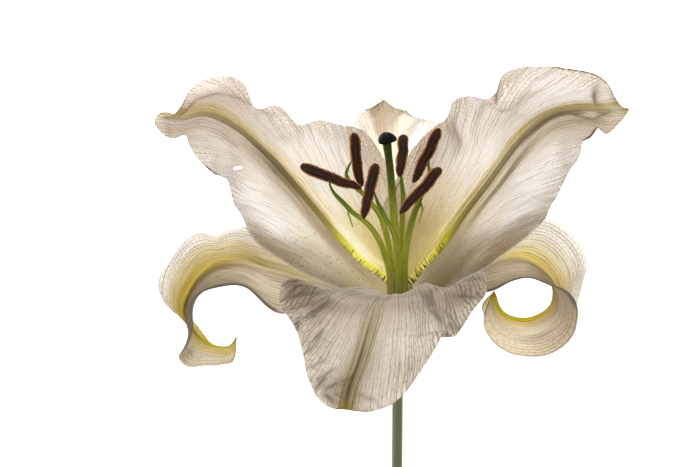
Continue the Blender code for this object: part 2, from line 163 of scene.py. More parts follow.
def setSurface(tree, shader, colour, normal, look):
    # colour, relief and gloss, and the share of the light that passes through
    tree.links.new(colour, shader.inputs["Base Color"])
    tree.links.new(normal, shader.inputs["Normal"])
    shader.inputs["Roughness"].default_value = look["roughness"]
    shader.inputs["Specular IOR Level"].default_value = look.get("shine", 0.5)
    if look.get("through"):
        passed = put(tree, "BsdfTranslucent", {"Color": colour, "Normal": normal})
        both = put(tree, "MixShader", {0: look["through"], 1: shader.outputs[0], 2: passed.outputs[0]})
        tree.links.new(both.outputs[0], tree.nodes["Material Output"].inputs["Surface"])


# Table and light: a pale light table below, a dim soft room above and one broad soft lamp
studio = {
    "tableSize": 30.0,  # m, so that its edge never shows
    "tableColour": (0.93, 0.93, 0.93, 1.0),
    "tableRoughness": 0.9,
    "tableShine": 0.1,
    "tableGlow": 1.35,
    "roomColour": (0.97, 0.98, 1.0, 1.0),
    "roomStrength": 0.22,
    "lampPlace": (-0.55, 0.35, 0.95),
    "lampAim": (0, 0.02, 0.05),
    "lampSize": 0.7,
    "lampWatts": 3.2,
}


def buildStudio(look):
    bpy.ops.object.select_all(action="DESELECT")
    bpy.ops.mesh.primitive_plane_add(size=look["tableSize"], location=(0, 0, 0))
    table = bpy.context.object
    table.name = "paleTable"
    material, tree, shader = newMaterial("paleTable")
    shader.inputs["Base Color"].default_value = look["tableColour"]
    shader.inputs["Roughness"].default_value = look["tableRoughness"]
    shader.inputs["Specular IOR Level"].default_value = look["tableShine"]
    shader.inputs["Emission Color"].default_value = (1, 1, 1, 1)
    shader.inputs["Emission Strength"].default_value = look["tableGlow"]
    table.data.materials.append(material)
    scene = bpy.context.scene
    scene.world = bpy.data.worlds.new("softRoom")
    scene.world.use_nodes = True
    sky = scene.world.node_tree.nodes["Background"]
    sky.inputs["Color"].default_value = look["roomColour"]
    sky.inputs["Strength"].default_value = look["roomStrength"]
    lampData = bpy.data.lights.new("softLamp", "AREA")
    lampData.shape = "DISK"
    lampData.size = look["lampSize"]
    lampData.energy = look["lampWatts"]
    lamp = bpy.data.objects.new("softLamp", lampData)
    scene.collection.objects.link(lamp)
    lamp.location = look["lampPlace"]
    aim = Vector(look["lampAim"]) - lamp.location
    lamp.rotation_euler = aim.to_track_quat("-Z", "Y").to_euler()
    scene.view_settings.view_transform = "Standard"
    scene.view_settings.look = "None"


buildStudio(studio)
print("table and light set")


# Shared curves. A guide line is rows of (fraction of its length, across, back, along), in mm
def smoothLine(rows, at):
    knots, points = rows[:, 0], rows[:, 1:]
    steps = np.diff(knots)
    slopes = np.diff(points, axis=0) / steps[:, None]
    tangents = np.empty_like(points)
    weights = steps[1:] + steps[:-1]
    tangents[1:-1] = (slopes[:-1] * steps[1:, None] + slopes[1:] * steps[:-1, None]) / weights[:, None]
    tangents[0] = 1.5 * slopes[0] - 0.5 * tangents[1]
    tangents[-1] = 1.5 * slopes[-1] - 0.5 * tangents[-2]
    i = np.clip(np.searchsorted(knots, at, side="right") - 1, 0, len(knots) - 2)
    u = ((at - knots[i]) / steps[i])[:, None]
    step = steps[i][:, None]
    start = (2 * u**3 - 3 * u**2 + 1) * points[i] + (u**3 - 2 * u**2 + u) * step * tangents[i]
    end = (3 * u**2 - 2 * u**3) * points[i + 1] + (u**3 - u**2) * step * tangents[i + 1]
    return start + end


def evenly(rows, count):
    # points at even steps along a smooth curve through given points
    rows = np.array(rows, dtype=float)
    lengths = np.linalg.norm(np.diff(rows, axis=0), axis=1)
    knots = np.concatenate([[0.0], np.cumsum(lengths)]) / lengths.sum()
    return smoothLine(np.column_stack([knots, rows]), np.linspace(0.0, 1.0, count))


def unit(ways):
    return ways / np.maximum(np.linalg.norm(ways, axis=-1, keepdims=True), 1e-9)


def grain(across, along, size, seed):
    # smooth noise over two lengths in mm, about -1 to 1
    flat = zip(np.ravel(across / size[0]), np.ravel(along / size[1]))
    values = [noise.noise(Vector((a, b, seed * 7.31))) for a, b in flat]
    return np.array(values).reshape(np.shape(across))


def ringFrames(centres):
    # two directions square to a path at each of its points, without twist
    ahead = unit(np.gradient(centres, axis=0))
    first = np.cross(ahead[0], [0.0, 0.0, 1.0])
    if np.linalg.norm(first) < 0.1:
        first = np.cross(ahead[0], [1.0, 0.0, 0.0])
    sideways = [first]
    for way in ahead[1:]:
        sideways.append(sideways[-1] - way * np.dot(sideways[-1], way))
    sideways = unit(np.array(sideways))
    return ahead, sideways, np.cross(sideways, ahead)


def pointsOf(mesh):
    flat = np.empty(len(mesh.vertices) * 3)
    mesh.vertices.foreach_get("co", flat)
    return flat.reshape(-1, 3)


def keep(mesh, name, values):
    # three numbers for each point, for the material to read
    kept = mesh.attributes.new(name, "FLOAT_VECTOR", "POINT")
    kept.data.foreach_set("vector", np.stack(values, axis=-1).ravel())


def startPiece(name, add, **shape):
    bpy.ops.object.select_all(action="DESELECT")
    add(location=(0, 0, 0), **shape)
    piece = bpy.context.object
    piece.name = name
    return piece, piece.data


def turnOutward():
    bpy.ops.object.mode_set(mode="EDIT")
    bpy.ops.mesh.select_all(action="SELECT")
    bpy.ops.mesh.normals_make_consistent(inside=False)
    bpy.ops.object.mode_set(mode="OBJECT")


def joinAll(pieces):
    bpy.ops.object.select_all(action="DESELECT")
    for piece in pieces:
        piece.select_set(True)
    bpy.context.view_layer.objects.active = pieces[0]
    if len(pieces) > 1:
        bpy.ops.object.join()
    return pieces[0]


def addTube(name, centres, reach, sides):
    # a disc drawn out ring by ring, then each ring carried to its place on the path.
    # reach gives the radius in metres from (share of the length, angle round the path)
    circle = {"vertices": sides, "radius": 1.0, "fill_type": "NGON"}
    tube, mesh = startPiece(name, bpy.ops.mesh.primitive_circle_add, **circle)
    bpy.ops.object.mode_set(mode="EDIT")
    bpy.ops.mesh.select_all(action="SELECT")
    for _ in range(len(centres) - 1):
        bpy.ops.mesh.extrude_region_move(TRANSFORM_OT_translate={"value": (0, 0, 1)})
    bpy.ops.object.mode_set(mode="OBJECT")
    start = pointsOf(mesh)
    ring = np.clip(np.round(start[:, 2]).astype(int), 0, len(centres) - 1)
    angle = np.arctan2(start[:, 1], start[:, 0])
    share = ring / (len(centres) - 1)
    _, sideways, up = ringFrames(centres)
    out = np.cos(angle)[:, None] * sideways[ring] + np.sin(angle)[:, None] * up[ring]
    places = centres[ring] + out * reach(share, angle)[:, None]
    mesh.vertices.foreach_set("co", places.ravel())
    steps = np.linalg.norm(np.diff(centres, axis=0), axis=1)
    length = np.concatenate([[0.0], np.cumsum(steps)]) / mm
    keep(mesh, "tubePlace", (angle, length[ring], share))
    turnOutward()
    bpy.ops.object.shade_smooth_by_angle(angle=math.radians(50))
    return tube


def finishPiece(piece, material):
    # wears its material and rides on the flower
    piece.data.materials.clear()
    piece.data.materials.append(material)
    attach(piece, "root")
    return piece


# Noise steps are for each vein, for each mm along it, and how detailed
veinLook = {
    "sway": (0.35, 0.10, 2.0),
    "swayReach": 5.0,  # veins, at a wander of 1
    "latestParting": 0.7,  # how much later the last veins part in two than the first
    "netCount": 1.3,  # cells of the net for each vein
    "netRandomness": 0.9,
    "nearStreaks": (0.5, 0.03, 3.0),
    "farStreaks": (0.4, 0.04, 3.0),
    "uneven": (1.1, 0.05, 2.0),
    "unevenFrom": (0.36, 0.62, 0.35),
    "fibresFrom": (0.2, 0.5),
    "fineRelief": 0.4,
}


# Effect shared by the tepals: veins that run beside the midrib and then fan out to the margin, where
# each parts in two, with finer ones between them and a net. Fan says where along that change a point
# is, and Branch how far the two have parted, both 0 to 1
def buildVeinGroup(look):
    inputs = {"Phase": 0.0, "Run": 0.0, "Beside": 0.0, "Upward": 0.0, "Fan": 0.0, "Branch": 0.0,
              "Near Width": 0.3, "Far Width": 0.25, "Net Width": 0.14, "Net Length": 0.55, "Wander": 0.3}
    outputs = ["Lines", "Net", "Fibres", "Streaks", "Relief"]
    tree, taken, given = newGroup("tepalVeins", inputs, outputs)
    (phase, run, beside, upward, fan, branch,
     nearWidth, farWidth, netWidth, netLength, wander) = [taken.outputs[label] for label in inputs]

    def flatPlace(u, uScale, v, vScale):
        return placeOf(tree, calc(tree, "MULTIPLY", u, uScale), calc(tree, "MULTIPLY", v, vScale))

    def flatNoise(u, v, steps):
        uScale, vScale, detail = steps
        return noiseOf(tree, flatPlace(u, uScale, v, vScale), 1.0, detail, noise_dimensions="2D")

    def swayed(count, way):
        sway = calc(tree, "SUBTRACT", flatNoise(count, way, look["sway"]), 0.5)
        reach = calc(tree, "MULTIPLY", wander, look["swayReach"])
        return calc(tree, "ADD", count, calc(tree, "MULTIPLY", sway, reach))

    def fromLine(count, parted):
        # how far the nearest line is: one at each whole count, and its twin on the way to the next half
        whole = calc(tree, "FLOOR", count)
        dice = put(tree, "TexWhiteNoise", {"W": whole}, noise_dimensions="1D").outputs[0]
        start = calc(tree, "MULTIPLY", dice, look["latestParting"])
        end = calc(tree, "ADD", start, 1.0 - look["latestParting"])
        share = rampOf(tree, parted, start, end, 0.0, 0.5)
        twin = calc(tree, "ABSOLUTE", calc(tree, "SUBTRACT", calc(tree, "FRACT", count), share))
        return calc(tree, "MINIMUM", calc(tree, "PINGPONG", count, 0.5), twin)

    def cellEdges(u, v):
        values = {"Vector": flatPlace(u, look["netCount"], v, netLength), "Scale": 1.0,
                  "Randomness": look["netRandomness"]}
        cells = put(tree, "TexVoronoi", values, voronoi_dimensions="2D", feature="DISTANCE_TO_EDGE")
        return fallOf(tree, cells.outputs["Distance"], 0.0, netWidth)

    def mixed(first, second):
        return put(tree, "Mix", {0: fan, 2: first, 3: second}, data_type="FLOAT").outputs[0]

    def between(count):
        # highest midway between two veins
        return calc(tree, "PINGPONG", calc(tree, "ADD", calc(tree, "MULTIPLY", count, 2.0), 0.5), 0.5)

    near = swayed(beside, upward)
    far = swayed(phase, run)
    nearLines = fallOf(tree, fromLine(near, 0.0), 0.0, nearWidth)
    farLines = fallOf(tree, fromLine(far, branch), 0.0, farWidth)
    streaks = mixed(flatNoise(near, upward, look["nearStreaks"]), flatNoise(far, run, look["farStreaks"]))
    uneven = mixed(flatNoise(near, upward, look["uneven"]), flatNoise(far, run, look["uneven"]))
    strength = rampOf(tree, uneven, *look["unevenFrom"])
    lines = calc(tree, "MULTIPLY", mixed(nearLines, farLines), strength)
    fibres = rampOf(tree, mixed(between(near), between(far)), *look["fibresFrom"])
    net = mixed(cellEdges(near, upward), cellEdges(far, run))
    fine = calc(tree, "MULTIPLY", calc(tree, "MAXIMUM", net, fibres), look["fineRelief"])
    relief = calc(tree, "MAXIMUM", lines, fine)
    for label, socket in zip(outputs, (lines, net, fibres, streaks, relief)):
        tree.links.new(socket, given.inputs[label])
    return tree


# Effect shared by all: small soft blotches that break up an even colour
def buildBlotchGroup():
    tree, taken, given = newGroup("blotches", {"Size": 1.0, "Sharpness": 0.5}, ["Mask", "Fine"])
    here = put(tree, "TexCoord").outputs["Object"]
    scale = calc(tree, "DIVIDE", 1000.0, taken.outputs["Size"])
    half = calc(tree, "MULTIPLY", taken.outputs["Sharpness"], 0.5)
    low, high = calc(tree, "SUBTRACT", 0.5, half), calc(tree, "ADD", 0.5, half)
    tree.links.new(rampOf(tree, noiseOf(tree, here, scale, 3.0), low, high), given.inputs["Mask"])
    fine = noiseOf(tree, here, calc(tree, "MULTIPLY", scale, 6.0), 2.0)
    tree.links.new(fine, given.inputs["Fine"])
    return tree


veinGroup = buildVeinGroup(veinLook)
blotchGroup = buildBlotchGroup()
print("shared effects built")

# What all tepals have in common
blade = {
    "petalRing": 5.0,  # mm from the flower's axis to a petal's claw
    "sepalRing": 5.9,
    "clawHalfWidth": 2.2,
    "clawLift": 0.7,
    "channel": 1.0,  # mm that the midrib lies back, over this share of the half blade
    "channelShare": 0.12,
    "turnShare": 0.2,  # share of the half blade over which its two halves' directions meet
    "furrow": 0.8,  # mm, the narrow furrow beside the midrib
    "furrowWidth": 0.9,
    "furrowPlace": -0.6,
    "keel": 0.35,  # mm, the fine ridge on the furrow's other side
    "keelWidth": 0.7,
    "keelPlace": 1.2,
    "leanFrom": 4.0,  # mm up the blade: below this the furrow lies over the back half by the lean
    "leanTo": 24.0,
    "frill": 0.8,
    "frillCount": 6,
    "ribHeight": 0.07,
    "pucker": 0.55,
    "puckerSize": (10.0, 17.0),  # mm across and along, as for the other sizes
    "pleatSize": (3.0, 15.0),
    "ruffle": 0.9,  # mm, at the margin
    "ruffleSize": (3.0, 6.0),
    "notch": 0.5,  # mm, how far the margin itself wanders
    "notchSize": (3.0, 4.0),
    "boxRoom": 0.62,  # mm between a blade's middle surface and the outside of the whole flower's box
    "thickest": 1.1,  # mm at the midrib
    "thinnest": 0.3,
    "midribReach": 2.2,  # mm over which the midrib thins out
    "marginReach": 6.0,
    "marginStep": 0.25,
    "crowding": 1.3,  # columns stand closer near the midrib
}
# veinedWidth: mm over which a sepal's veins spread from midrib to margin; a petal's keep their distance
petalLook = {"grid": (160, 200), "bulge": 3.0, "halfWidth": 45.0, "veinedWidth": 0.0}
sepalLook = {"grid": (110, 190), "bulge": 2.0, "halfWidth": 22.0, "veinedWidth": 15.0}

# Each tepal's place round the flower in degrees, and its midrib and margins from claw to tip
tepals = {
    "petalLeft": {
        "azimuth": 148,
        "lean": 4.5,  # mm, at the claw
        "midrib": [
            (0.1, -7.5, 4, 12.5), (0.24, -19.5, 9.5, 24.5), (0.36, -30.5, 15.5, 36), (0.48, -42.5, 22, 49),
            (0.6, -56, 29.5, 62.5), (0.71, -70, 37.5, 72), (0.81, -83, 45, 74.5), (0.89, -93, 50, 70.5),
            (0.95, -99, 52, 70.5), (1, -104.5, 53, 69),
        ],
        "front": [
            (0.04, -9, -1.5, 6), (0.1, -19, -10, 13.5), (0.24, -39.5, -15, 25), (0.36, -53, -13.5, 33),
            (0.44, -62, -9, 40.5), (0.5, -65.5, -1, 45), (0.56, -68.5, 6, 48.5), (0.61, -71.5, 13, 55),
            (0.66, -77, 20, 55.5), (0.71, -83, 27, 58.5), (0.77, -88, 34, 63), (0.82, -90, 40, 66),
            (0.88, -96, 45, 63.5), (0.95, -102, 50, 65), (1, -104.5, 53, 69),
        ],
        "back": [
            (0.1, -0.5, 13, 19), (0.22, 1, 24, 33), (0.34, -2.5, 33, 52), (0.43, -13.5, 40, 67.5),
            (0.5, -23.5, 43, 70.5), (0.56, -33, 46, 71.5), (0.62, -42.5, 47, 68.5), (0.67, -50.5, 53, 76),
            (0.71, -60, 51, 76), (0.76, -66, 57, 84), (0.82, -75, 60, 87), (0.88, -86, 59, 84),
            (0.93, -91.8, 56.5, 75.5), (0.952, -93.5, 54, 70.5), (0.968, -97, 54, 71.8),
            (0.985, -101.5, 53.8, 71.9), (1, -104.5, 53, 68.6),
        ],
    },
    "petalRight": {
        "azimuth": 28,
        "lean": 2.0,
        "midrib": [
            (0.1, 7.5, 4.5, 12.5), (0.24, 19, 10, 27.5), (0.36, 28, 15, 40), (0.48, 38.5, 21, 52.5),
            (0.6, 51.5, 29, 68), (0.71, 64.5, 37, 77), (0.81, 77.5, 44, 77.5), (0.9, 90.5, 50.5, 74.5),
            (1, 100, 55, 73.5),
        ],
        "front": [
            (0.04, 8.5, -1.5, 6), (0.1, 17.5, -10, 14), (0.2, 29.5, -15, 23.5), (0.28, 38, -18, 29.5),
            (0.36, 46, -18.5, 36.5), (0.44, 55, -16, 43.5), (0.49, 60.5, -12, 47), (0.53, 62.5, -5, 50),
            (0.58, 66, 3, 53), (0.63, 70.5, 11, 58.5), (0.69, 76, 20, 63.5), (0.74, 78, 28, 67.5),
            (0.78, 81.5, 33, 67.5), (0.82, 84.5, 38, 69.5), (0.88, 89.5, 43, 66), (0.94, 95.5, 50, 69),
            (1, 100, 55, 73.5),
        ],
        "back": [
            (0.1, 2, 10, 20), (0.22, -6, 17, 38.5), (0.34, -2, 27, 48), (0.42, 6.5, 34, 62),
            (0.5, 16.5, 40, 71), (0.56, 21, 43, 73.5), (0.6, 24.5, 46, 79.5), (0.64, 31, 48, 81),
            (0.69, 38.5, 50, 79.5), (0.73, 42.5, 52, 82.5), (0.76, 44.5, 55, 87), (0.8, 50.5, 58, 90),
            (0.85, 61.5, 61, 91.5), (0.89, 72.5, 61.5, 89.5), (0.93, 86, 60.5, 86.5), (0.96, 92, 58, 81),
            (0.98, 93, 56.5, 75), (1, 100, 55, 73.5),
        ],
    },
    "petalFront": {
        "azimuth": 268,
        "midrib": [
            (0.1, -1, -17, 12.5), (0.21, -2.5, -33, 22.5), (0.32, -5, -49, 28.5), (0.42, -8, -62, 32),
            (0.52, -10, -73, 33), (0.61, -12, -82, 30), (0.7, -14, -89, 25), (0.8, -16.5, -93.5, 17.5),
            (0.9, -20, -95, 8), (1, -22, -93, -2.5),
        ],
        "front": [
            (0.1, -9.5, -14, 10.5), (0.21, -19.5, -30, 20.5), (0.3, -28, -43, 28), (0.38, -36, -55, 35.5),
            (0.44, -42, -63, 40.5), (0.49, -46.5, -68, 39.5), (0.54, -47.5, -73, 35.5),
            (0.6, -44.5, -79, 31.5), (0.66, -41, -84, 27), (0.77, -38, -90, 18), (0.85, -36, -92, 9.5),
            (0.92, -32.5, -93, 2), (0.97, -27, -93, -2), (1, -22, -93, -2.5),
        ],
        "back": [
            (0.1, 9, -15, 11.5), (0.21, 17.5, -31, 21.5), (0.3, 23, -43, 30), (0.38, 27.5, -53, 37),
            (0.44, 32.5, -60, 41.5), (0.49, 33.5, -65, 39), (0.55, 31.5, -72, 36), (0.61, 26.5, -78, 31),
            (0.66, 20.5, -83, 24.5), (0.7, 16.5, -84, 27.5), (0.75, 14, -87, 23.5), (0.82, 8.5, -90, 14.5),
            (0.89, 1, -92, 4), (0.94, -6.5, -93, -1.5), (0.975, -14.5, -93, -3.5), (1, -22, -93, -2.5),
        ],
    },
    "sepalLeft": {
        "azimuth": 208,
        "midrib": [
            (0.1, -14.5, -5, 6.5), (0.2, -27, -6.5, 16), (0.3, -41, -10, 21), (0.4, -54, -14, 26),
            (0.49, -65, -19, 31.5), (0.56, -74, -23, 32), (0.63, -82, -26, 27), (0.7, -87, -28, 19),
            (0.76, -88.5, -29, 11.5), (0.82, -86, -28, 5), (0.87, -82, -26.5, -0.5), (0.92, -76, -25, -4.5),
            (0.96, -70, -23.5, -5), (1, -67, -22.5, -0.5),
        ],
        "front": [
            (0.1, -17, -12, 6), (0.2, -29, -20, 12), (0.3, -40.5, -26, 13), (0.38, -49.5, -31, 13.5),
            (0.44, -57.5, -35, 22), (0.5, -64.5, -38, 27.5), (0.57, -74.5, -42, 29.5),
            (0.64, -81.5, -44, 25.5), (0.71, -85, -45, 19), (0.76, -85, -44, 11), (0.8, -86.5, -42, 2.5),
            (0.83, -89.5, -41, -1.5), (0.87, -86.5, -38, -7.5), (0.91, -79.5, -35, -8.5),
            (0.95, -73, -31, -9.5), (0.985, -67.5, -26, -7.5), (1, -67, -22.5, -0.5),
        ],
        "back": [
            (0.1, -15, 4, 7), (0.2, -28.5, 8, 17), (0.3, -44, 6, 27), (0.38, -57, 1, 35.5),
            (0.44, -63, -3, 40), (0.5, -69.5, -7, 42), (0.545, -76.5, -10, 40.5), (0.58, -82, -11, 41.5),
            (0.63, -89, -13, 38.5), (0.68, -94.5, -15, 32), (0.725, -98, -16.5, 25),
            (0.765, -98.5, -17, 18.5), (0.8, -96.5, -17, 12), (0.83, -92.5, -17.5, 7),
            (0.86, -87.5, -18, 5.5), (0.9, -83, -18.5, 1.5), (0.94, -79, -18, -8.5), (0.97, -72, -20, -8.5),
            (1, -67, -22.5, -0.5),
        ],
    },
    "sepalRight": {
        "azimuth": 328,
        "midrib": [
            (0.1, 13.5, -5, 6.5), (0.2, 23.5, -6.5, 17), (0.3, 33, -9, 24.5), (0.4, 41.5, -13, 30.5),
            (0.47, 49.5, -16, 32.5), (0.54, 57, -20, 30.5), (0.61, 63, -23.5, 25), (0.66, 64.5, -25.5, 20.5),
            (0.71, 63.5, -26, 14.5), (0.76, 60, -26, 10.5), (0.81, 54.5, -25, 7.5), (0.86, 49, -24, 7),
            (0.91, 43.5, -23, 9), (0.96, 40.5, -22, 13), (1, 39, -21, 19),
        ],
        "front": [
            (0.1, 14, -12, 6), (0.2, 24, -20, 13.5), (0.3, 30.5, -26, 18.5), (0.38, 36, -31, 23),
            (0.45, 43.5, -35, 27.5), (0.51, 52.5, -38.5, 31), (0.57, 60.5, -41, 30), (0.62, 66, -43, 27.5),
            (0.66, 70, -43, 22.5), (0.7, 72, -43, 16.5), (0.74, 71, -43, 9), (0.78, 66, -42, 3),
            (0.82, 59, -41, -1), (0.86, 51, -39, -2.5), (0.9, 43.5, -37, -1.5), (0.935, 37.5, -34, 2.5),
            (0.965, 34.5, -30, 9), (0.985, 36, -26, 14.5), (1, 39, -21, 19),
        ],
        "back": [
            (0.1, 14, 4, 7), (0.2, 22.5, 8, 18), (0.3, 35.5, 6, 28), (0.38, 46.5, 1, 38.5),
            (0.45, 56.5, -3, 44), (0.5, 63.5, -6.5, 45), (0.55, 70.5, -9, 41), (0.6, 75.5, -11, 34),
            (0.645, 77.5, -12.5, 27.5), (0.69, 77, -13, 21), (0.735, 75, -13.5, 15), (0.77, 72, -14, 8.5),
            (0.82, 62, -14, 1), (0.88, 50.5, -13, -2.5), (0.93, 40, -14, 0), (0.96, 35, -16, 7),
            (0.985, 35, -19, 13.5), (1, 39, -21, 19),
        ],
    },
    "sepalBack": {
        "azimuth": 88,
        "midrib": [
            (0.12, 0, 15, 9), (0.25, 0, 25, 23), (0.38, -1, 33.5, 37), (0.5, -2, 40.5, 51.5),
            (0.6, -4, 46.5, 65.5), (0.67, -5, 50.5, 74.5), (0.72, -6, 53.5, 78.5), (0.77, -6.5, 55, 77),
            (0.83, -6.5, 53.5, 72.5), (0.91, -6, 50, 65.5), (1, -5, 48, 59.5),
        ],
        "front": [
            (0.12, -6, 12, 9.5), (0.25, -11, 22.5, 21.5), (0.38, -16, 32, 36.5), (0.5, -19.5, 40, 51.5),
            (0.58, -20, 45.5, 62.5), (0.64, -19, 49, 68.5), (0.7, -16, 53, 71.5), (0.76, -13.5, 54.5, 73.5),
            (0.84, -11.5, 53, 70.5), (0.92, -9, 50, 64), (1, -5, 48, 59.5),
        ],
        "back": [
            (0.12, 6.5, 12, 9.5), (0.25, 10.5, 22.5, 21.5), (0.38, 15, 32, 36.5), (0.5, 18.5, 40, 51.5),
            (0.58, 21, 45.5, 62.5), (0.64, 19, 49, 68.5), (0.7, 9, 53, 70), (0.76, 2, 54.5, 72.5),
            (0.84, -0.5, 53, 69.5), (0.92, -2, 50, 63.5), (1, -5, 48, 59.5),
        ],
    },
}


# What marks each tepal out, at places along it and to the front (-) or back side, in hundredths. fan: the
# veins' slant from the midrib, there and at the margin, in degrees, and how far apart they leave it in mm,
# for the front and the back half. creases: start, end, width and depth in mm, and how dark the painted shade
# along it is. The margin lists: the side's sign, and from and to where its margin is tinted: brown in its own
# colour, then a painted highlight along a curled margin, then painted shade along a margin rolled over. The
# patch lists: place, half length, half width and strength of a soft patch of painted shade, where thicker
# tissue and shadow let less light through, and of painted light, where thinner tissue lets more through
marks = {
    "petalLeft": {
        "fan": {"front": (8, 48, 3.0), "back": (7, 30, 4.5)},
        "creases": [
            (90, 8, 86.5, 56, 0.55, 1.5, 1.0), (87, 52, 80, 65, 0.6, 1.5, 0.85),
            (81, 63, 76, 70, 0.8, 1.3, 0.4), (77, 69, 66, 82, 1.4, 1.3, 0.25),
            (75, 45, 66, 70, 2.0, -0.9, 0.0), (66, -50, 60, -95, 2.0, -1.0, 0.0),
            (70, -65, 66, -100, 1.2, 0.8, 0.1), (52, 55, 60, 98, 3.0, -1.2, 0.0),
            (71, -30, 60, -55, 2.6, 0.8, 0.1), (93, -45, 90, -95, 1.2, 0.9, 0.2),
        ],
        "brown": [(-1, 64, 70.5)],
        "paintedHighlight": [(-1, 12, 47)],
        "tear": ((-16.4, 91.5), (-11.5, 89.7), 1.0),  # mm across and up the blade at its two ends, half width
        "paintedShade": [
            (72, -45, 10, 30, 15), (86, -40, 8, 50, 15), (50, -35, 6, 30, 5), (80, 30, 10, 25, 20),
            (63, 55, 5, 25, 14),
        ],
        "paintedLight": [
            (86, 85, 7, 32, 90), (70, 92, 8, 20, 50), (44, -70, 16, 35, 80), (22, -85, 12, 45, 100),
            (98, 20, 3, 100, 40), (58, 35, 10, 25, 30),
        ],
    },
    "petalRight": {
        "fan": {"front": (8, 46, 3.0), "back": (7, 32, 4.4)},
        "creases": [
            (92, 67, 88, 10, 0.9, 1.5, 0.7), (75, 100, 69, 86, 0.7, 1.3, 0.6),
            (80, 57, 66, 63, 2.0, 1.2, 0.25), (57, 97, 49, 58, 1.8, 1.5, 0.45),
            (78, -18, 84, -45, 0.5, 0.9, 0.6), (84, -45, 91, -8, 0.5, 0.9, 0.6),
            (72, -45, 62, -95, 3.0, 1.2, 0.1), (47, 55, 55, 98, 2.0, 1.0, 0.2),
        ],
        "brown": [(1, 86, 97.5), (-1, 74, 82)],
        "paintedHighlight": [(-1, 14, 46)],
        "paintedShade": [
            (60, 60, 5, 40, 22), (18, -60, 12, 60, 25), (33, -75, 8, 30, 25), (80, -35, 10, 25, 25),
            (68, 60, 7, 22, 18), (24, 40, 12, 50, 15), (42, 75, 10, 25, 25),
        ],
        "paintedLight": [
            (84, 75, 10, 35, 30), (62, -70, 12, 35, 60), (72, 90, 5, 20, 60), (52, 30, 8, 20, 50),
            (93, -30, 4, 60, 40), (84, -22, 3, 12, 70),
        ],
    },
    "petalFront": {
        "fan": {"front": (8, 40, 5.8), "back": (6, 27, 7.5)},
        "creases": [
            (38, -74, 49, -99, 1.5, 1.3, 0.8), (44, -74, 51, -98, 0.8, -1.2, 0.0),
            (45, -62, 53, -99, 1.2, 1.3, 0.75), (49, -64, 55, -98, 0.8, -0.9, 0.0),
            (50, -60, 57, -98, 0.8, 0.9, 0.55), (47, -48, 54, -60, 1.5, 1.5, 0.7),
            (53, -58, 58, -72, 1.2, 1.4, 0.75), (57, -58, 61, -94, 0.5, 0.8, 0.6),
            (61, -90, 66, -99, 0.8, 1.0, 0.8), (64, -62, 71, -80, 0.8, 1.0, 0.65),
            (71, -80, 76, -96, 0.7, 0.8, 0.55), (82, -46, 86, -90, 0.7, 0.8, 0.6),
            (85, -65, 89, -99, 0.9, 1.0, 0.8), (90, -78, 88, -34, 0.8, 1.0, 0.75),
            (88, -36, 86, -6, 0.6, 0.7, 0.5), (91, -80, 96, -70, 0.9, 0.9, 0.65),
            (92, -50, 95, -20, 0.5, 0.6, 0.4), (78, -60, 81, -98, 0.6, 0.6, 0.45),
            (40, 44, 53, 50, 2.2, 1.7, 0.65), (53, 49, 63, 80, 1.3, 1.4, 0.65),
            (55, 62, 64, 96, 0.8, 0.9, 0.45), (63, 80, 64, 100, 1.1, -1.3, 0.4),
            (40, 72, 46, 99, 1.5, 1.3, 0.6), (48, 66, 54, 98, 0.8, 1.0, 0.5),
            (93, 15, 94, 80, 1.0, 0.7, 0.25), (12, 50, 40, 50, 5.5, -4.6, 0.0),
            (14, -50, 42, -50, 5.0, -4.0, 0.0),
        ],
        "brown": [(-1, 96.5, 100), (1, 95.5, 100)],
        "paintedShade": [
            (40, -30, 8, 60, 60), (40, 50, 8, 60, 60), (46, -85, 7, 35, 95), (50, 80, 7, 35, 90),
            (52, -50, 5, 40, 70), (90, -50, 6, 50, 45), (50, 30, 5, 30, 40), (60, -75, 4, 30, 50),
            (71, -75, 7, 30, 40),
        ],
        "paintedLight": [(70, 60, 10, 35, 25), (60, -85, 1.5, 15, 50)],
    },
    "sepalLeft": {
        "fan": {"front": (4, 16, 13.0), "back": (4, 13, 16.0)},
        "creases": [
            (40, -60, 55, -75, 1.2, 0.7, 0.1), (86, -50, 83, -98, 1.6, 1.0, 0.3),
        ],
        "brown": [(-1, 96.5, 100), (1, 96.5, 100)],
        "paintedHighlight": [(1, 45, 72)],
        "dark": [(-1, 37, 80)],
        "paintedShade": [(33, 30, 8, 80, 25), (68, -60, 8, 60, 25)],
        "paintedLight": [(60, 98, 17, 36, 90)],
    },
    "sepalRight": {
        "fan": {"front": (4, 16, 13.0), "back": (4, 13, 16.0)},
        "creases": [
            (78, -55, 88, -60, 1.4, 0.8, 0.2),
        ],
        "brown": [(-1, 96.5, 100), (1, 96.5, 100)],
        "paintedHighlight": [(1, 42, 66)],
        "dark": [(-1, 35, 68)],
        "paintedShade": [(33, 30, 8, 80, 25), (60, -60, 8, 60, 20)],
        "paintedLight": [(56, 98, 16, 40, 90)],
    },
    "sepalBack": {
        "fan": {"front": (6, 30, 5.2), "back": (6, 30, 5.2)},
        "creases": [
            (60, 30, 66, 75, 1.0, 0.7, 0.35), (63, 5, 69, 45, 0.9, -0.6, 0.0),
            (57, 15, 62, 55, 0.8, 0.6, 0.35), (56, -45, 64, -75, 1.2, 0.7, 0.25),
            (66, 25, 70, 60, 0.7, 0.6, 0.35), (70, -10, 66, -60, 0.9, 0.6, 0.2),
        ],
        "brown": [(1, 67, 78)],
        "paintedLight": [(60, -85, 15, 30, 20), (60, 85, 15, 30, 10)],
    },
}


def endFade(along):
    # nothing at a blade's two ends, all of it between
    return np.minimum(1.0, 6 * along * (1 - along))


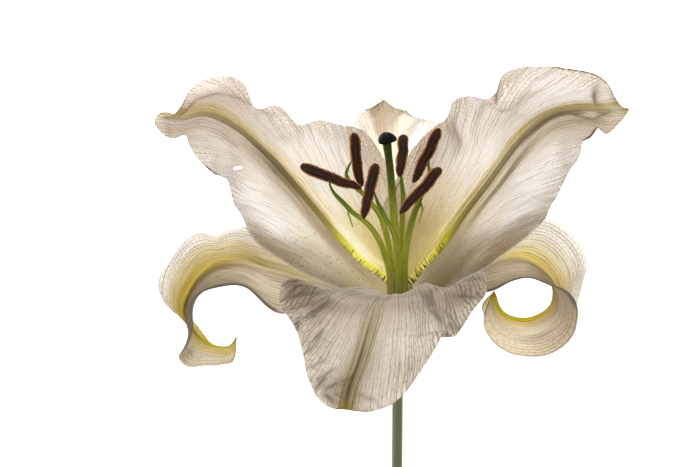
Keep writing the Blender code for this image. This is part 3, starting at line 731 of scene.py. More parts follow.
def bladeLines(shape, ring):
    # midrib and both margins, each with its first point on the ring, and the way the margins turn
    angle = math.radians(shape["azimuth"])
    outward = np.array([math.cos(angle), math.sin(angle)])
    roundRing = np.array([-math.sin(angle), math.cos(angle)])
    between = np.array(shape["front"][0][1:3]) - np.array(shape["back"][0][1:3])
    turn = 1.0 if np.dot(between, roundRing) > 0 else -1.0
    lines = {}
    for name, sideways in (("midrib", 0.0), ("front", turn), ("back", -turn)):
        place = ring * outward + sideways * blade["clawHalfWidth"] * roundRing
        lines[name] = np.array([(0.0, *place, blade["clawLift"])] + shape[name])
    return lines, turn


def bladeSurface(lines, turn, look, along, side):
    # the blade's middle surface in mm, a row for each step along it and a column for each across
    middle = smoothLine(lines["midrib"], along)
    ahead = smoothLine(lines["midrib"], np.minimum(along + 0.01, 1.0))
    behind = smoothLine(lines["midrib"], np.maximum(along - 0.01, 0.0))
    reach, outward = {}, {}
    for half, sign in (("front", -turn), ("back", turn)):
        reach[half] = smoothLine(lines[half], along) - middle
        outward[half] = unit(np.cross(ahead - behind, reach[half])) * sign
    mean = (outward["front"] + outward["back"]) / 2
    share = np.abs(side)
    surface = np.empty((len(along), len(side), 3))
    ways = np.empty_like(surface)
    for half, columns in (("front", side < 0), ("back", side >= 0)):
        part = share[columns][None, :, None]
        towards = np.clip(part / blade["turnShare"], 0.0, 1.0)
        surface[:, columns] = middle[:, None] + reach[half][:, None] * part
        ways[:, columns] = mean[:, None] * (1 - towards) + outward[half][:, None] * towards
    a, q = along[:, None], share[None, :]
    fade = endFade(a)
    swell = look["bulge"] * 16 * a * (1 - a) * q * (1 - q)
    channel = blade["channel"] * fade * np.exp(-((q / blade["channelShare"]) ** 2))
    wave = np.sin(2 * math.pi * blade["frillCount"] * a + side[None, :])
    frill = blade["frill"] * fade * np.minimum(1.0, 2 * a) * q**3 * wave
    surface += ways * (swell + channel + frill)[..., None]
    return surface, ways


def bladePlaces(surface, side):
    # where each point lies on the blade: mm out from the midrib, mm up it and mm in from the margin
    steps = np.linalg.norm(np.diff(surface, axis=1), axis=2)
    run = np.concatenate([np.zeros((len(surface), 1)), np.cumsum(steps, axis=1)], axis=1)
    middle = np.argmin(np.abs(side))
    across = run - run[:, middle:middle + 1]
    edge = np.minimum(run, run[:, -1:] - run)
    rise = np.linalg.norm(np.diff(surface[:, middle], axis=0), axis=1)
    upward = np.concatenate([[0.0], np.cumsum(rise)])[:, None] * np.ones_like(across)
    return across, upward, edge


def veinPhase(fan, across, upward, halfWidth):
    # veins leave the midrib at a small slant and lean over towards the margin
    atMidrib, atMargin, apart = fan
    steep, flat = 1 / math.tan(math.radians(atMidrib)), 1 / math.tan(math.radians(atMargin))
    bend = halfWidth * flat / (steep - flat)
    return (upward - bend * steep * np.log(1 + np.abs(across) / bend)) / apart


def creaseRelief(crease, along, side, across, upward):
    # a soft crease along a straight line on the blade, deepest at its middle, and the painted shade laid
    # along it
    width, depth, darkness = crease[4:]
    ends = []
    for up, out in (crease[:2], crease[2:4]):
        spot = np.abs(along - up / 100).argmin(), np.abs(side - out / 100).argmin()
        ends.append(np.array([across[spot], upward[spot]]))
    start, end = ends
    length = np.linalg.norm(end - start)
    way = (end - start) / length
    x, y = across - start[0], upward - start[1]
    on = (x * way[0] + y * way[1]) / length
    off = x * way[1] - y * way[0]
    line = np.exp(-(((on - 0.5) / 0.5) ** 4)) * np.exp(-((off / width) ** 2))
    return depth * line, darkness * line


def leanAt(upward, lean):
    share = np.clip((upward - blade["leanFrom"]) / (blade["leanTo"] - blade["leanFrom"]), 0.0, 1.0)
    return lean * (1 - share * share * (3 - 2 * share))


def ridge(beside, name):
    return blade[name] * np.exp(-(((beside - blade[name + "Place"]) / blade[name + "Width"]) ** 2))


def bladeRelief(along, side, across, upward, phase, seed, lean):
    # everything finer than the guide lines that lifts or sinks the surface, in mm
    beside = across - leanAt(upward, lean)
    q = np.abs(side)[None, :]
    a = along[:, None]
    ribs = blade["ribHeight"] * np.clip((q - 0.08) / 0.12, 0.0, 1.0) * np.cos(2 * math.pi * phase)
    wide = grain(across, upward, blade["puckerSize"], seed)
    wide = wide + 0.6 * grain(phase * 4.0, upward, blade["pleatSize"], seed + 3)
    pucker = blade["pucker"] * np.minimum(1.0, 3 * a) * q * wide
    waves = grain(side * 3.0, upward, blade["ruffleSize"], seed + 7)
    ruffle = blade["ruffle"] * np.minimum(1.0, 2.5 * a) * q**4 * waves
    return endFade(a) * (ridge(beside, "furrow") - ridge(beside, "keel") + ribs + pucker + ruffle)


def softPatches(patches, along, side):
    # how far each point lies in any of the soft patches, 0 to 1
    cover = np.zeros((len(along), len(side)))
    for patch in patches:
        up, out, halfLength, halfWidth, strength = [number / 100 for number in patch]
        away = ((along[:, None] - up) / halfLength) ** 2 + ((side[None, :] - out) / halfWidth) ** 2
        cover = np.maximum(cover, strength * np.exp(-away))
    return cover


def marginTintAndPaintedLight(stretches, along, side):
    # 1 along listed stretches of the margin, with soft ends
    tint = np.zeros((len(along), len(side)))
    for sign, low, high in stretches:
        start = np.clip((along - low / 100) / 0.02, 0, 1)
        end = np.clip((high / 100 + 0.005 - along) / 0.02, 0, 1)
        tint += (start * end)[:, None] * (np.sign(side) == sign)[None, :]
    return tint


grown = {}  # each blade's points, the ways out of it and its two measures, for what grows on it


def addTepal(name, shape, ring, look, seed):
    columns, rows = look["grid"]
    count = {"x_subdivisions": columns, "y_subdivisions": rows}
    piece, mesh = startPiece(name + "Blade", bpy.ops.mesh.primitive_grid_add, size=2.0, **count)
    grid = pointsOf(mesh).reshape((rows + 1, columns + 1, 3))
    side = np.sign(grid[0, :, 0]) * np.abs(grid[0, :, 0]) ** blade["crowding"]
    along = (grid[:, 0, 1] + 1) / 2
    surface, ways = bladeSurface(*bladeLines(shape, ring), look, along, side)
    across, upward, edge = bladePlaces(surface, side)
    marked = marks[name]
    phase = [veinPhase(marked["fan"][half], across, upward, look["halfWidth"]) for half in ("front", "back")]
    phase = np.where((side < 0)[None, :], *phase)
    relief = bladeRelief(along, side, across, upward, phase, seed, shape.get("lean", 0.0))
    # each crease sinks the surface and lays painted shade along itself
    foldShades = np.zeros_like(across)
    for crease in marked["creases"]:
        sunk, darkness = creaseRelief(crease, along, side, across, upward)
        relief = relief + sunk
        foldShades = np.maximum(foldShades, darkness)
    outward = unit(np.gradient(surface, axis=1))
    wander = np.sign(side) * np.abs(side) ** 6 * grain(side * 5.0, upward, blade["notchSize"], seed + 11)
    notch = blade["notch"] * endFade(along)[:, None] * wander
    surface = surface + ways * relief[..., None] + outward * notch[..., None]
    low, high = np.array(cadBox)
    room = blade["boxRoom"] * mm
    mesh.vertices.foreach_set("co", np.clip(onTable(surface), low + room, high - room).ravel())
    spread = side[None, :] * look["veinedWidth"] if look["veinedWidth"] else across
    keep(mesh, "bladePlace", (across, upward, edge))
    keep(mesh, "veinPlace", (phase, 0.5 * np.abs(across) + 0.87 * upward, spread * np.ones_like(across)))
    # margin tints: the margin's own brown, a painted highlight along curled stretches and painted shade along
    # stretches rolled over
    tints = [marginTintAndPaintedLight(marked.get(tint, []), along, side) for tint in ("brown", "paintedHighlight", "dark")]
    keep(mesh, "marginTintAndPaintedLight", tints)
    # soft patches of painted shade and of painted light, kept with the painted shade of the creases
    patches = [softPatches(marked.get(paintedLightAndShade, []), along, side) for paintedLightAndShade in ("paintedShade", "paintedLight")]
    keep(mesh, "paintedLightAndShade", (*patches, foldShades))
    giveWall(piece, across, upward, edge, marked.get("tear"))
    grown[name] = (onTable(surface), onTable(surface + ways) - onTable(surface), across, upward)
    return piece


def tearOpen(piece, across, upward, tear):
    # a small torn hole: the faces along a short line go
    start, end, width = np.array(tear[0]), np.array(tear[1]), tear[2]
    places = np.column_stack([across.ravel(), upward.ravel()])
    way = (end - start) / np.linalg.norm(end - start)
    bpy.ops.object.mode_set(mode="EDIT")
    bpy.ops.mesh.select_mode(type="FACE")
    bpy.ops.mesh.select_all(action="DESELECT")
    bpy.ops.object.mode_set(mode="OBJECT")
    torn = []
    for face in piece.data.polygons:
        off = places[list(face.vertices)].mean(axis=0) - start
        on = np.dot(off, way) / np.linalg.norm(end - start)
        aside = abs(off[0] * way[1] - off[1] * way[0])
        face.select = 0.0 < on < 1.0 and aside < width * (0.35 + 0.65 * on)
        if face.select:
            torn.append(face.center.copy())
    middle = sum(torn, Vector()) / len(torn)
    bpy.ops.object.mode_set(mode="EDIT")
    bpy.ops.mesh.delete(type="FACE")
    bpy.ops.mesh.select_all(action="SELECT")
    bpy.ops.mesh.region_to_loop()
    bpy.ops.object.mode_set(mode="OBJECT")
    for corner in piece.data.vertices:
        corner.select = corner.select and (corner.co - middle).length < np.linalg.norm(end - start) * mm
    bpy.ops.object.mode_set(mode="EDIT")
    bpy.ops.mesh.select_mode(type="VERT")
    bpy.ops.mesh.vertices_smooth(factor=0.5, repeat=4)
    bpy.ops.object.mode_set(mode="OBJECT")


def giveWall(piece, across, upward, edge, tear):
    # the blade's thickness: a stout midrib that thins to a fine margin
    group = piece.vertex_groups.new(name="stoutness")
    midrib = np.exp(-((across / blade["midribReach"]) ** 2))
    margin = np.clip(edge / blade["marginReach"], 0.0, 1.0)
    between = blade["thickest"] - blade["thinnest"] - blade["marginStep"]
    thickness = blade["thinnest"] + blade["marginStep"] * margin + between * midrib * margin
    for index, weight in enumerate((thickness / blade["thickest"]).ravel()):
        group.add([index], float(weight), "REPLACE")
    if tear:
        tearOpen(piece, across, upward, tear)
    bpy.ops.object.mode_set(mode="EDIT")
    bpy.ops.mesh.select_all(action="SELECT")
    bpy.ops.mesh.remove_doubles(threshold=0.0000005)
    bpy.ops.object.mode_set(mode="OBJECT")
    wall = piece.modifiers.new("wall", "SOLIDIFY")
    wall.thickness = blade["thickest"] * mm
    wall.offset = 0.0
    wall.vertex_group = "stoutness"
    wall.thickness_vertex_group = 0.1
    bpy.ops.object.modifier_apply(modifier="wall")
    bpy.ops.object.shade_smooth_by_angle(angle=math.radians(60))


# Colours of the tepals. A stripe runs beside the midrib: its place, half width and two soft edges in mm,
# front and back, then for heights in mm up the blade its red, green, blue and strength in hundredths.
# They are painted in this order; on the petals some are painted shade and painted highlights, as marked
stripeSpan = 150.0
commonColours = {
    "tissue": (0.978, 0.972, 0.966, 1.0),
    "shade": (0.91, 0.875, 0.83, 1.0),
    "vein": (0.58, 0.48, 0.36, 1.0),  # veins and fibres darken what they cross by this
    # the colour that patches of painted light lighten towards
    "thin": (0.99, 0.985, 0.98, 1.0),
    # multiplies all of a tepal's colour: painted shade, set for each tepal by how much light reaches it
    "densityAndShade": (0.93, 0.93, 0.93, 1.0),
    # the colour that patches of painted shade multiply by
    "paintedShade": (0.72, 0.68, 0.62, 1.0),
    "brown": (0.30, 0.17, 0.07, 1.0),
    "brownRim": (0.3, 1.3),  # mm from the margin over which the tint fades, and for some how strong it is
    "brownBroken": (0.3, 0.6, 0.4),
    # painted shade along a margin rolled over
    "dark": (0.40, 0.35, 0.31, 1.0),
    "darkRim": (1.3, 3.4, 0.95),
    # painted highlight along a curled margin
    "paintedHighlight": (0.99, 0.97, 0.93, 1.0),
    "paintedHighlightRim": (0.3, 1.6, 0.85),
    # painted shade along the creases
    "foldShade": (0.30, 0.26, 0.19, 1.0),
    "speck": (0.34, 0.28, 0.17, 1.0),
    "specks": 0.0,
    "speckScale": 520.0,
    "speckSize": (0.10, 0.26),
    "speckShare": (0.41, 0.50),
    "speckHeights": (38.0, 72.0),
    "specksBehind": 0.6,  # share of them on the back half
    "speckFront": (-3.0, 0.0),  # mm from the midrib
    "blotches": {"Size": 14.0, "Sharpness": 0.5},
    "veinBump": (0.6, 0.2),  # strength, and depth in mm
    "fineBump": (0.25, 0.1),
    "spacing": 1.3,  # mm between veins beside the midrib
    "fanFrom": 5.0,  # mm from the midrib where they start to fan out
    "fanTo": 12.0,
    "branchFrom": 16.0,  # mm from the midrib where they start to part in two
    "branchTo": 36.0,
    "veinDepth": 0.64,
    "fibreDepth": 0.22,
    "streakDepth": 0.26,
    "streaksFrom": (0.36, 0.64),
    "netDepth": 0.14,
    "netRim": 0.62,  # the net shows more near the margin
    "netRimReach": (3.0, 14.0),  # mm
    "netWidth": 0.16,
    "netLength": 0.62,
    "nearWidth": 0.34,  # share of the way to the next vein
    "farWidth": 0.28,
    "wander": 0.30,
    "young": 0.5,  # how much of the veins' depth there is low down on the blade
    "youngHeights": (24.0, 66.0),  # mm up it, where that ends
    "clearOfMidrib": (0.4, 2.4, 0.45),  # mm over which veins fade in from the midrib, and from how much
    "stripeSway": 1.2,  # mm
    "lean": 0.0,
    "through": 0.94,  # share of the light that passes through
    "roughness": 0.5,
    "shine": 0.35,
}
leftPetalColours = dict(
    commonColours,
    foldShade=(0.30, 0.21, 0.12, 1.0),
    specks=0.85,
    lean=tepals["petalLeft"]["lean"],
    stripes=[
        # the first three stripes: painted shade down the front half, deepening towards the furrow
        (-10.0, 5.0, 8.0, 6.0, (8, 64, 61, 48, 95), (22, 79, 76, 63, 90), (36, 83, 79, 68, 80),
         (60, 90, 84, 75, 50), (100, 88, 82, 75, 35)),
        (-2.5, 2.0, 5.0, 1.1, (8, 72, 66, 48, 95), (20, 70, 63, 47, 95), (36, 62, 56, 45, 95),
         (50, 65, 58, 48, 85), (75, 66, 59, 49, 75), (100, 76, 69, 60, 60), (130, 79, 72, 64, 50)),
        (-2.4, 1.3, 0.5, 2.0, (48, 66, 59, 40, 0), (56, 64, 57, 41, 40), (66, 56, 50, 38, 80),
         (78, 53, 47, 37, 95), (88, 60, 53, 43, 50), (98, 66, 59, 49, 0)),
        (-20.0, 8.0, 8.0, 8.0, (10, 88, 84, 60, 80), (36, 92, 88, 70, 60), (56, 96, 93, 84, 0)),
        (9.0, 4.0, 4.0, 14.0, (5, 82, 74, 48, 95), (22, 86, 78, 50, 90), (38, 88, 80, 56, 85),
         (55, 94, 90, 83, 40), (90, 91, 85, 78, 40), (110, 84, 76, 68, 60), (130, 84, 76, 68, 80)),
        (4.0, 1.4, 1.8, 3.2, (5, 92, 86, 50, 90), (18, 100, 95, 66, 95), (28, 100, 98, 84, 100),
         (36, 100, 98, 86, 90), (50, 95, 90, 78, 60), (75, 88, 80, 62, 65), (100, 86, 78, 56, 65),
         (130, 82, 74, 52, 70)),
        (2.3, 0.6, 0.8, 0.9, (38, 92, 86, 52, 0), (50, 72, 63, 32, 90), (62, 76, 67, 40, 85),
         (75, 78, 69, 40, 90), (100, 76, 67, 36, 90), (130, 74, 65, 38, 70)),
        # the furrow: the midrib's own olive, deepened with painted shade in the groove
        (0.5, 0.45, 1.2, 0.8, (20, 85, 80, 40, 0), (29, 74, 69, 20, 60), (37, 62, 57, 14, 100),
         (50, 44, 39, 18, 100), (62, 38, 33, 18, 100), (75, 31, 27, 16, 100), (88, 36, 31, 21, 100),
         (102, 52, 45, 32, 100), (125, 58, 50, 33, 90), (145, 72, 64, 48, 40)),
        (1.3, 0.7, 0.55, 1.1, (6, 90, 86, 34, 95), (18, 100, 97, 30, 100), (29, 100, 96, 26, 100),
         (37, 86, 82, 18, 70), (45, 70, 64, 26, 0)),
        # a painted highlight along the ridge beside the furrow
        (2.3, 0.1, 0.35, 0.35, (46, 97, 92, 66, 0), (56, 100, 95, 72, 90), (80, 100, 94, 76, 90),
         (100, 94, 86, 68, 70), (130, 84, 75, 58, 40)),
        (-3.9, 0.12, 0.3, 0.4, (54, 92, 87, 72, 0), (66, 94, 88, 76, 70), (84, 90, 84, 74, 50),
         (96, 88, 80, 70, 0)),
    ],
)
rightPetalColours = dict(
    leftPetalColours,
    lean=tepals["petalRight"]["lean"],
    stripes=[
        # the first three stripes: painted shade down the front half, deepening towards the furrow
        (-10.0, 5.0, 8.0, 6.0, (8, 68, 64, 50, 95), (22, 66, 62, 51, 95), (36, 75, 70, 60, 90),
         (50, 90, 83, 73, 60), (75, 92, 87, 81, 30), (105, 86, 79, 72, 55)),
        (-4.0, 3.4, 4.5, 1.3, (8, 68, 64, 50, 95), (20, 61, 57, 45, 95), (36, 66, 61, 50, 95),
         (44, 72, 65, 53, 60), (54, 80, 73, 60, 30), (80, 80, 73, 62, 20), (100, 74, 67, 56, 60),
         (130, 80, 73, 62, 40)),
        (-5.4, 0.6, 1.6, 1.0, (42, 64, 57, 46, 20), (52, 58, 52, 42, 85), (75, 50, 44, 36, 95),
         (90, 62, 55, 46, 70), (104, 70, 63, 54, 40), (130, 74, 67, 58, 50)),
        (-2.9, 0.5, 0.8, 0.8, (40, 80, 74, 50, 0), (50, 86, 79, 52, 80), (75, 92, 84, 72, 85),
         (88, 84, 76, 64, 50), (97, 76, 68, 56, 0)),
        (10.0, 5.0, 4.0, 12.0, (5, 76, 69, 42, 90), (20, 78, 70, 46, 90), (38, 76, 68, 46, 88),
         (50, 86, 79, 63, 75), (62, 91, 86, 77, 55), (85, 91, 87, 82, 50), (130, 92, 88, 84, 30)),
        (4.2, 0.8, 1.0, 2.4, (5, 80, 73, 42, 90), (20, 78, 72, 44, 90), (28, 82, 75, 46, 90),
         (36, 92, 85, 60, 90), (50, 95, 90, 78, 70), (75, 88, 81, 70, 50), (100, 85, 77, 68, 60),
         (125, 88, 82, 72, 60)),
        (2.6, 0.5, 1.5, 1.3, (30, 80, 74, 40, 20), (38, 72, 66, 30, 70), (50, 58, 51, 24, 95),
         (75, 72, 64, 36, 90), (98, 66, 58, 32, 90), (125, 64, 56, 28, 90)),
        # the furrow: the midrib's own olive, deepened with painted shade in the groove
        (0.1, 0.6, 1.7, 1.1, (14, 76, 72, 30, 0), (24, 74, 70, 24, 40), (36, 50, 47, 13, 100),
         (50, 43, 38, 21, 100), (75, 43, 37, 25, 100), (90, 45, 39, 25, 95), (104, 56, 49, 30, 90),
         (128, 64, 57, 36, 90)),
        (1.3, 0.6, 0.55, 1.2, (8, 84, 80, 34, 95), (20, 98, 93, 32, 100), (28, 92, 88, 20, 100),
         (36, 68, 66, 11, 95), (44, 70, 64, 30, 20), (50, 70, 64, 30, 0)),
        # a painted highlight along the ridge beside the furrow
        (1.7, 0.2, 0.35, 0.45, (34, 90, 84, 50, 0), (43, 92, 85, 58, 60), (51, 98, 91, 62, 95),
         (75, 100, 95, 72, 100), (92, 96, 88, 62, 80), (125, 84, 76, 50, 50)),
        # painted shade in the furrow higher up
        (-1.2, 0.8, 0.8, 0.8, (84, 42, 36, 28, 0), (96, 41, 36, 28, 100), (106, 43, 37, 29, 100),
         (125, 66, 57, 42, 80), (145, 72, 64, 50, 60)),
    ],
)
frontPetalColours = dict(
    commonColours,
    # darker than the other tepals' tissue: painted shade, for the less light that reaches the front petal
    # through those below it
    tissue=(0.945, 0.905, 0.855, 1.0),
    shade=(0.86, 0.81, 0.745, 1.0),
    foldShade=(0.34, 0.30, 0.26, 1.0),
    vein=(0.55, 0.50, 0.39, 1.0),
    spacing=1.15,
    fanFrom=3.0,
    fanTo=9.0,
    branchFrom=8.0,
    branchTo=34.0,
    veinDepth=0.80,
    fibreDepth=0.14,
    netDepth=0.34,
    netRim=0.60,
    netWidth=0.10,
    netLength=0.30,
    nearWidth=0.34,
    farWidth=0.17,
    wander=0.28,
    young=0.6,
    stripes=[
        # painted shade across the blade from 40 to 100 mm up
        (0.0, 34.0, 10.0, 10.0, (40, 86, 81, 72, 90), (64, 90, 85, 77, 85), (80, 80, 74, 67, 80),
         (90, 86, 79, 72, 55), (100, 90, 85, 80, 0)),
        (0.0, 2.0, 9.0, 9.0, (60, 82, 76, 68, 30), (90, 86, 80, 71, 40), (125, 78, 71, 60, 70)),
        # the furrow near the tip: painted shade in the groove
        (-0.2, 2.4, 1.8, 1.8, (70, 82, 76, 64, 0), (88, 76, 70, 55, 70), (100, 74, 67, 51, 80),
         (122, 62, 55, 40, 90)),
        (-0.3, 0.35, 0.7, 0.7, (72, 66, 60, 48, 0), (86, 52, 47, 36, 80), (100, 44, 39, 28, 100),
         (122, 38, 33, 24, 100)),
        # two painted highlights beside the furrow
        (1.35, 0.12, 0.3, 0.35, (82, 96, 90, 74, 0), (96, 99, 93, 76, 80), (125, 90, 82, 64, 70)),
        (-1.9, 0.12, 0.35, 0.3, (84, 94, 88, 70, 0), (98, 98, 92, 74, 80), (125, 88, 80, 60, 60)),
        (2.4, 0.1, 0.3, 0.3, (80, 60, 53, 40, 0), (94, 54, 48, 34, 80), (125, 50, 44, 31, 70)),
        (-2.9, 0.1, 0.3, 0.3, (80, 60, 53, 40, 0), (94, 56, 50, 36, 70), (125, 50, 44, 31, 60)),
        (0.0, 1.2, 1.6, 1.6, (119, 66, 56, 26, 0), (124, 58, 46, 18, 90)),
    ],
)
sepalColours = dict(
    commonColours,
    tissue=(0.99, 0.965, 0.95, 1.0),
    shade=(0.90, 0.86, 0.82, 1.0),
    foldShade=(0.42, 0.36, 0.28, 1.0),
    vein=(0.55, 0.49, 0.37, 1.0),
    spacing=1.05,
    fanFrom=60.0,
    fanTo=70.0,
    veinDepth=0.72,
    fibreDepth=0.32,
    streakDepth=0.45,
    netDepth=0.16,
    netRim=0.55,
    netLength=0.60,
    nearWidth=0.40,
    wander=0.16,
    young=0.9,
)
leftSepalColours = dict(
    sepalColours,
    densityAndShade=(0.95, 0.945, 0.94, 1.0),
    stripes=[
        (-9.0, 9.0, 6.0, 6.0, (34, 62, 57, 49, 85), (60, 95, 89, 77, 80), (82, 78, 71, 60, 85),
         (105, 58, 51, 42, 90), (125, 97, 92, 80, 70)),
        (-1.8, 1.4, 2.6, 1.6, (34, 72, 66, 56, 60), (60, 80, 73, 61, 60), (80, 64, 56, 37, 90),
         (105, 54, 47, 35, 90), (125, 92, 84, 50, 80)),
        (7.0, 3.0, 4.0, 5.0, (34, 97, 93, 84, 85), (60, 84, 77, 58, 90), (85, 88, 81, 58, 90),
         (105, 86, 77, 52, 90), (130, 100, 93, 64, 80)),
        (3.5, 1.8, 1.5, 2.6, (34, 94, 88, 70, 80), (58, 72, 64, 42, 90), (80, 86, 77, 50, 90),
         (100, 78, 68, 28, 95), (130, 98, 90, 52, 90)),
        (1.7, 0.45, 0.6, 0.7, (34, 88, 80, 52, 60), (60, 62, 54, 28, 90), (76, 100, 90, 36, 90),
         (105, 98, 86, 22, 95), (130, 100, 92, 28, 90)),
        (0.0, 0.5, 1.0, 0.7, (34, 76, 69, 50, 30), (60, 76, 68, 52, 50), (80, 58, 50, 23, 90),
         (100, 30, 26, 15, 100), (130, 78, 71, 13, 90)),
    ],
)
rightSepalColours = dict(
    sepalColours,
    densityAndShade=(0.985, 0.975, 0.965, 1.0),
    stripes=[
        (-9.0, 9.0, 6.0, 6.0, (34, 64, 59, 51, 85), (60, 96, 90, 78, 80), (70, 78, 71, 60, 85),
         (84, 68, 61, 51, 85), (100, 100, 95, 84, 85), (125, 100, 95, 82, 70)),
        (-1.8, 1.4, 2.6, 1.6, (34, 72, 66, 54, 60), (60, 78, 70, 55, 60), (80, 62, 55, 41, 90),
         (100, 92, 84, 54, 85), (125, 92, 84, 54, 80)),
        (7.0, 3.4, 4.0, 4.5, (34, 97, 93, 84, 85), (60, 98, 94, 82, 80), (80, 94, 88, 72, 90),
         (100, 100, 96, 84, 85), (130, 100, 96, 84, 80)),
        (3.5, 1.8, 1.5, 2.6, (34, 97, 92, 78, 80), (58, 97, 90, 64, 90), (80, 92, 84, 58, 90),
         (100, 96, 88, 52, 90), (130, 94, 85, 48, 85)),
        (1.5, 0.45, 0.6, 0.7, (34, 96, 88, 60, 60), (60, 98, 88, 34, 90), (76, 92, 82, 38, 90),
         (100, 98, 88, 20, 95), (130, 98, 88, 22, 90)),
        (-0.4, 0.5, 1.0, 0.7, (34, 86, 79, 52, 40), (60, 76, 68, 34, 80), (80, 66, 57, 27, 90),
         (100, 80, 73, 10, 100), (130, 82, 75, 12, 90)),
    ],
)
backSepalColours = dict(
    commonColours,
    tissue=(0.98, 0.965, 0.94, 1.0),
    densityAndShade=(1.0, 1.0, 1.0, 1.0),
    streakDepth=0.20,
    spacing=1.4,
    fanFrom=4.0,
    fanTo=9.0,
    veinDepth=0.34,
    fibreDepth=0.14,
    netDepth=0.10,
    stripes=[
        (0.0, 3.0, 10.0, 10.0, (40, 93, 89, 64, 80), (70, 98, 95, 84, 75), (88, 97, 93, 84, 70),
         (110, 96, 92, 86, 70)),
    ],
)


def addStripe(tree, colour, across, height, row):
    centre, half, softFront, softBack, *stops = row
    ramp = put(tree, "ValToRGB", {0: height})
    points = ramp.color_ramp.elements
    for index, (up, *tint) in enumerate(stops):
        place = up / stripeSpan
        point = points[index] if index < 2 else points.new(place)
        point.position = place
        point.color = [number / 100 for number in tint]
    fromFront = rampOf(tree, across, centre - half - softFront, centre - half)
    fromBack = fallOf(tree, across, centre + half, centre + half + softBack)
    mask = calc(tree, "MULTIPLY", fromFront, fromBack)
    return blendOf(tree, calc(tree, "MULTIPLY", mask, ramp.outputs["Alpha"]), colour, ramp.outputs["Color"])


def tepalMaterial(name, look):
    material, tree, shader = newMaterial(name)
    across, upward, edge = readKept(tree, "bladePlace")
    phase, run, beside = readKept(tree, "veinPlace")
    isBrown, isPaintedHighlight, isPaintedRimShade = readKept(tree, "marginTintAndPaintedLight")
    paintedShade, paintedLight, foldShade = readKept(tree, "paintedLightAndShade")

    def times(first, *others):
        for other in others:
            first = calc(tree, "MULTIPLY", first, other)
        return first

    def tint(colour, share, target, blend="MIX"):
        return blendOf(tree, share, colour, target, blend)

    away = calc(tree, "ABSOLUTE", across)
    veins = useGroup(tree, veinGroup, {
        "Phase": phase, "Run": run, "Beside": calc(tree, "DIVIDE", beside, look["spacing"]),
        "Upward": upward, "Fan": rampOf(tree, away, look["fanFrom"], look["fanTo"]),
        "Branch": rampOf(tree, away, look["branchFrom"], look["branchTo"]),
        "Near Width": look["nearWidth"], "Far Width": look["farWidth"], "Net Width": look["netWidth"],
        "Net Length": look["netLength"], "Wander": look["wander"],
    })
    blotch = useGroup(tree, blotchGroup, look["blotches"])
    streak = rampOf(tree, veins["Streaks"], *look["streaksFrom"])
    colour = tint(look["tissue"], times(streak, look["streakDepth"]), look["shade"])
    height = calc(tree, "DIVIDE", upward, stripeSpan)
    lean = fallOf(tree, upward, blade["leanFrom"], blade["leanTo"], look["lean"])
    sway = times(calc(tree, "SUBTRACT", veins["Streaks"], 0.5), look["stripeSway"])
    fromFurrow = calc(tree, "ADD", calc(tree, "SUBTRACT", across, lean), sway)
    for row in look["stripes"]:
        colour = addStripe(tree, colour, fromFurrow, height, row)
    # the tepal's overall painted shade
    colour = tint(colour, 1.0, look["densityAndShade"], "MULTIPLY")
    # painted light, then painted shade, in their soft patches
    colour = tint(colour, paintedLight, look["thin"])
    colour = tint(colour, paintedShade, look["paintedShade"], "MULTIPLY")
    grownUp = rampOf(tree, upward, *look["youngHeights"], look["young"])
    fresh = times(rampOf(tree, away, *look["clearOfMidrib"]), grownUp)
    netDepth = rampOf(tree, edge, *look["netRimReach"], look["netRim"], look["netDepth"])
    for part, depth in (("Net", netDepth), ("Fibres", look["fibreDepth"]), ("Lines", look["veinDepth"])):
        colour = tint(colour, times(veins[part], fresh, depth), look["vein"], "MULTIPLY")
    # painted shade along the creases
    colour = tint(colour, foldShade, look["foldShade"])
    if look["specks"] > 0:
        here = put(tree, "TexCoord").outputs["Object"]
        cells = put(tree, "TexVoronoi", {"Vector": here, "Scale": look["speckScale"]})
        dots = fallOf(tree, cells.outputs["Distance"], *look["speckSize"])
        few = rampOf(tree, blotch["Fine"], *look["speckShare"])
        low = fallOf(tree, upward, *look["speckHeights"])
        onFront = rampOf(tree, across, *look["speckFront"], 1.0, look["specksBehind"])
        colour = tint(colour, times(times(dots, few), times(low, onFront), look["specks"]), look["speck"])
    broken = rampOf(tree, blotch["Fine"], *look["brownBroken"])
    # the margins: painted highlight, painted shade, then their own brown
    for part, *masks in (("paintedHighlight", isPaintedHighlight), ("dark", isPaintedRimShade), ("brown", isBrown, broken)):
        rim = times(fallOf(tree, edge, *look[part + "Rim"]), *masks)
        colour = tint(colour, rim, look[part])
    bump = bumpOf(tree, veins["Relief"], *look["veinBump"])
    setSurface(tree, shader, colour, bumpOf(tree, blotch["Fine"], *look["fineBump"], bump), look)
    return material


tissues = {
    "petalLeft": tepalMaterial("leftPetalTissue", leftPetalColours),
    "petalRight": tepalMaterial("rightPetalTissue", rightPetalColours),
    "petalFront": tepalMaterial("frontPetalTissue", frontPetalColours),
    "sepalLeft": tepalMaterial("leftSepalTissue", leftSepalColours),
    "sepalRight": tepalMaterial("rightSepalTissue", rightSepalColours),
    "sepalBack": tepalMaterial("backSepalTissue", backSepalColours),
}
nodeOf = {
    "petalLeft": "petal_left", "petalRight": "petal_right", "petalFront": "petal_front",
    "sepalLeft": "sepal_left", "sepalRight": "sepal_right", "sepalBack": "sepal_back",
}
for seed, (name, shape) in enumerate(tepals.items(), start=1):
    isPetal = name.startswith("petal")
    ring = blade["petalRing"] if isPetal else blade["sepalRing"]
    piece = addTepal(name, shape, ring, petalLook if isPetal else sepalLook, seed)
    finishPiece(piece, tissues[name])
    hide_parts(nodeOf[name])
    print("tepal made:", name, len(piece.data.polygons), "faces")


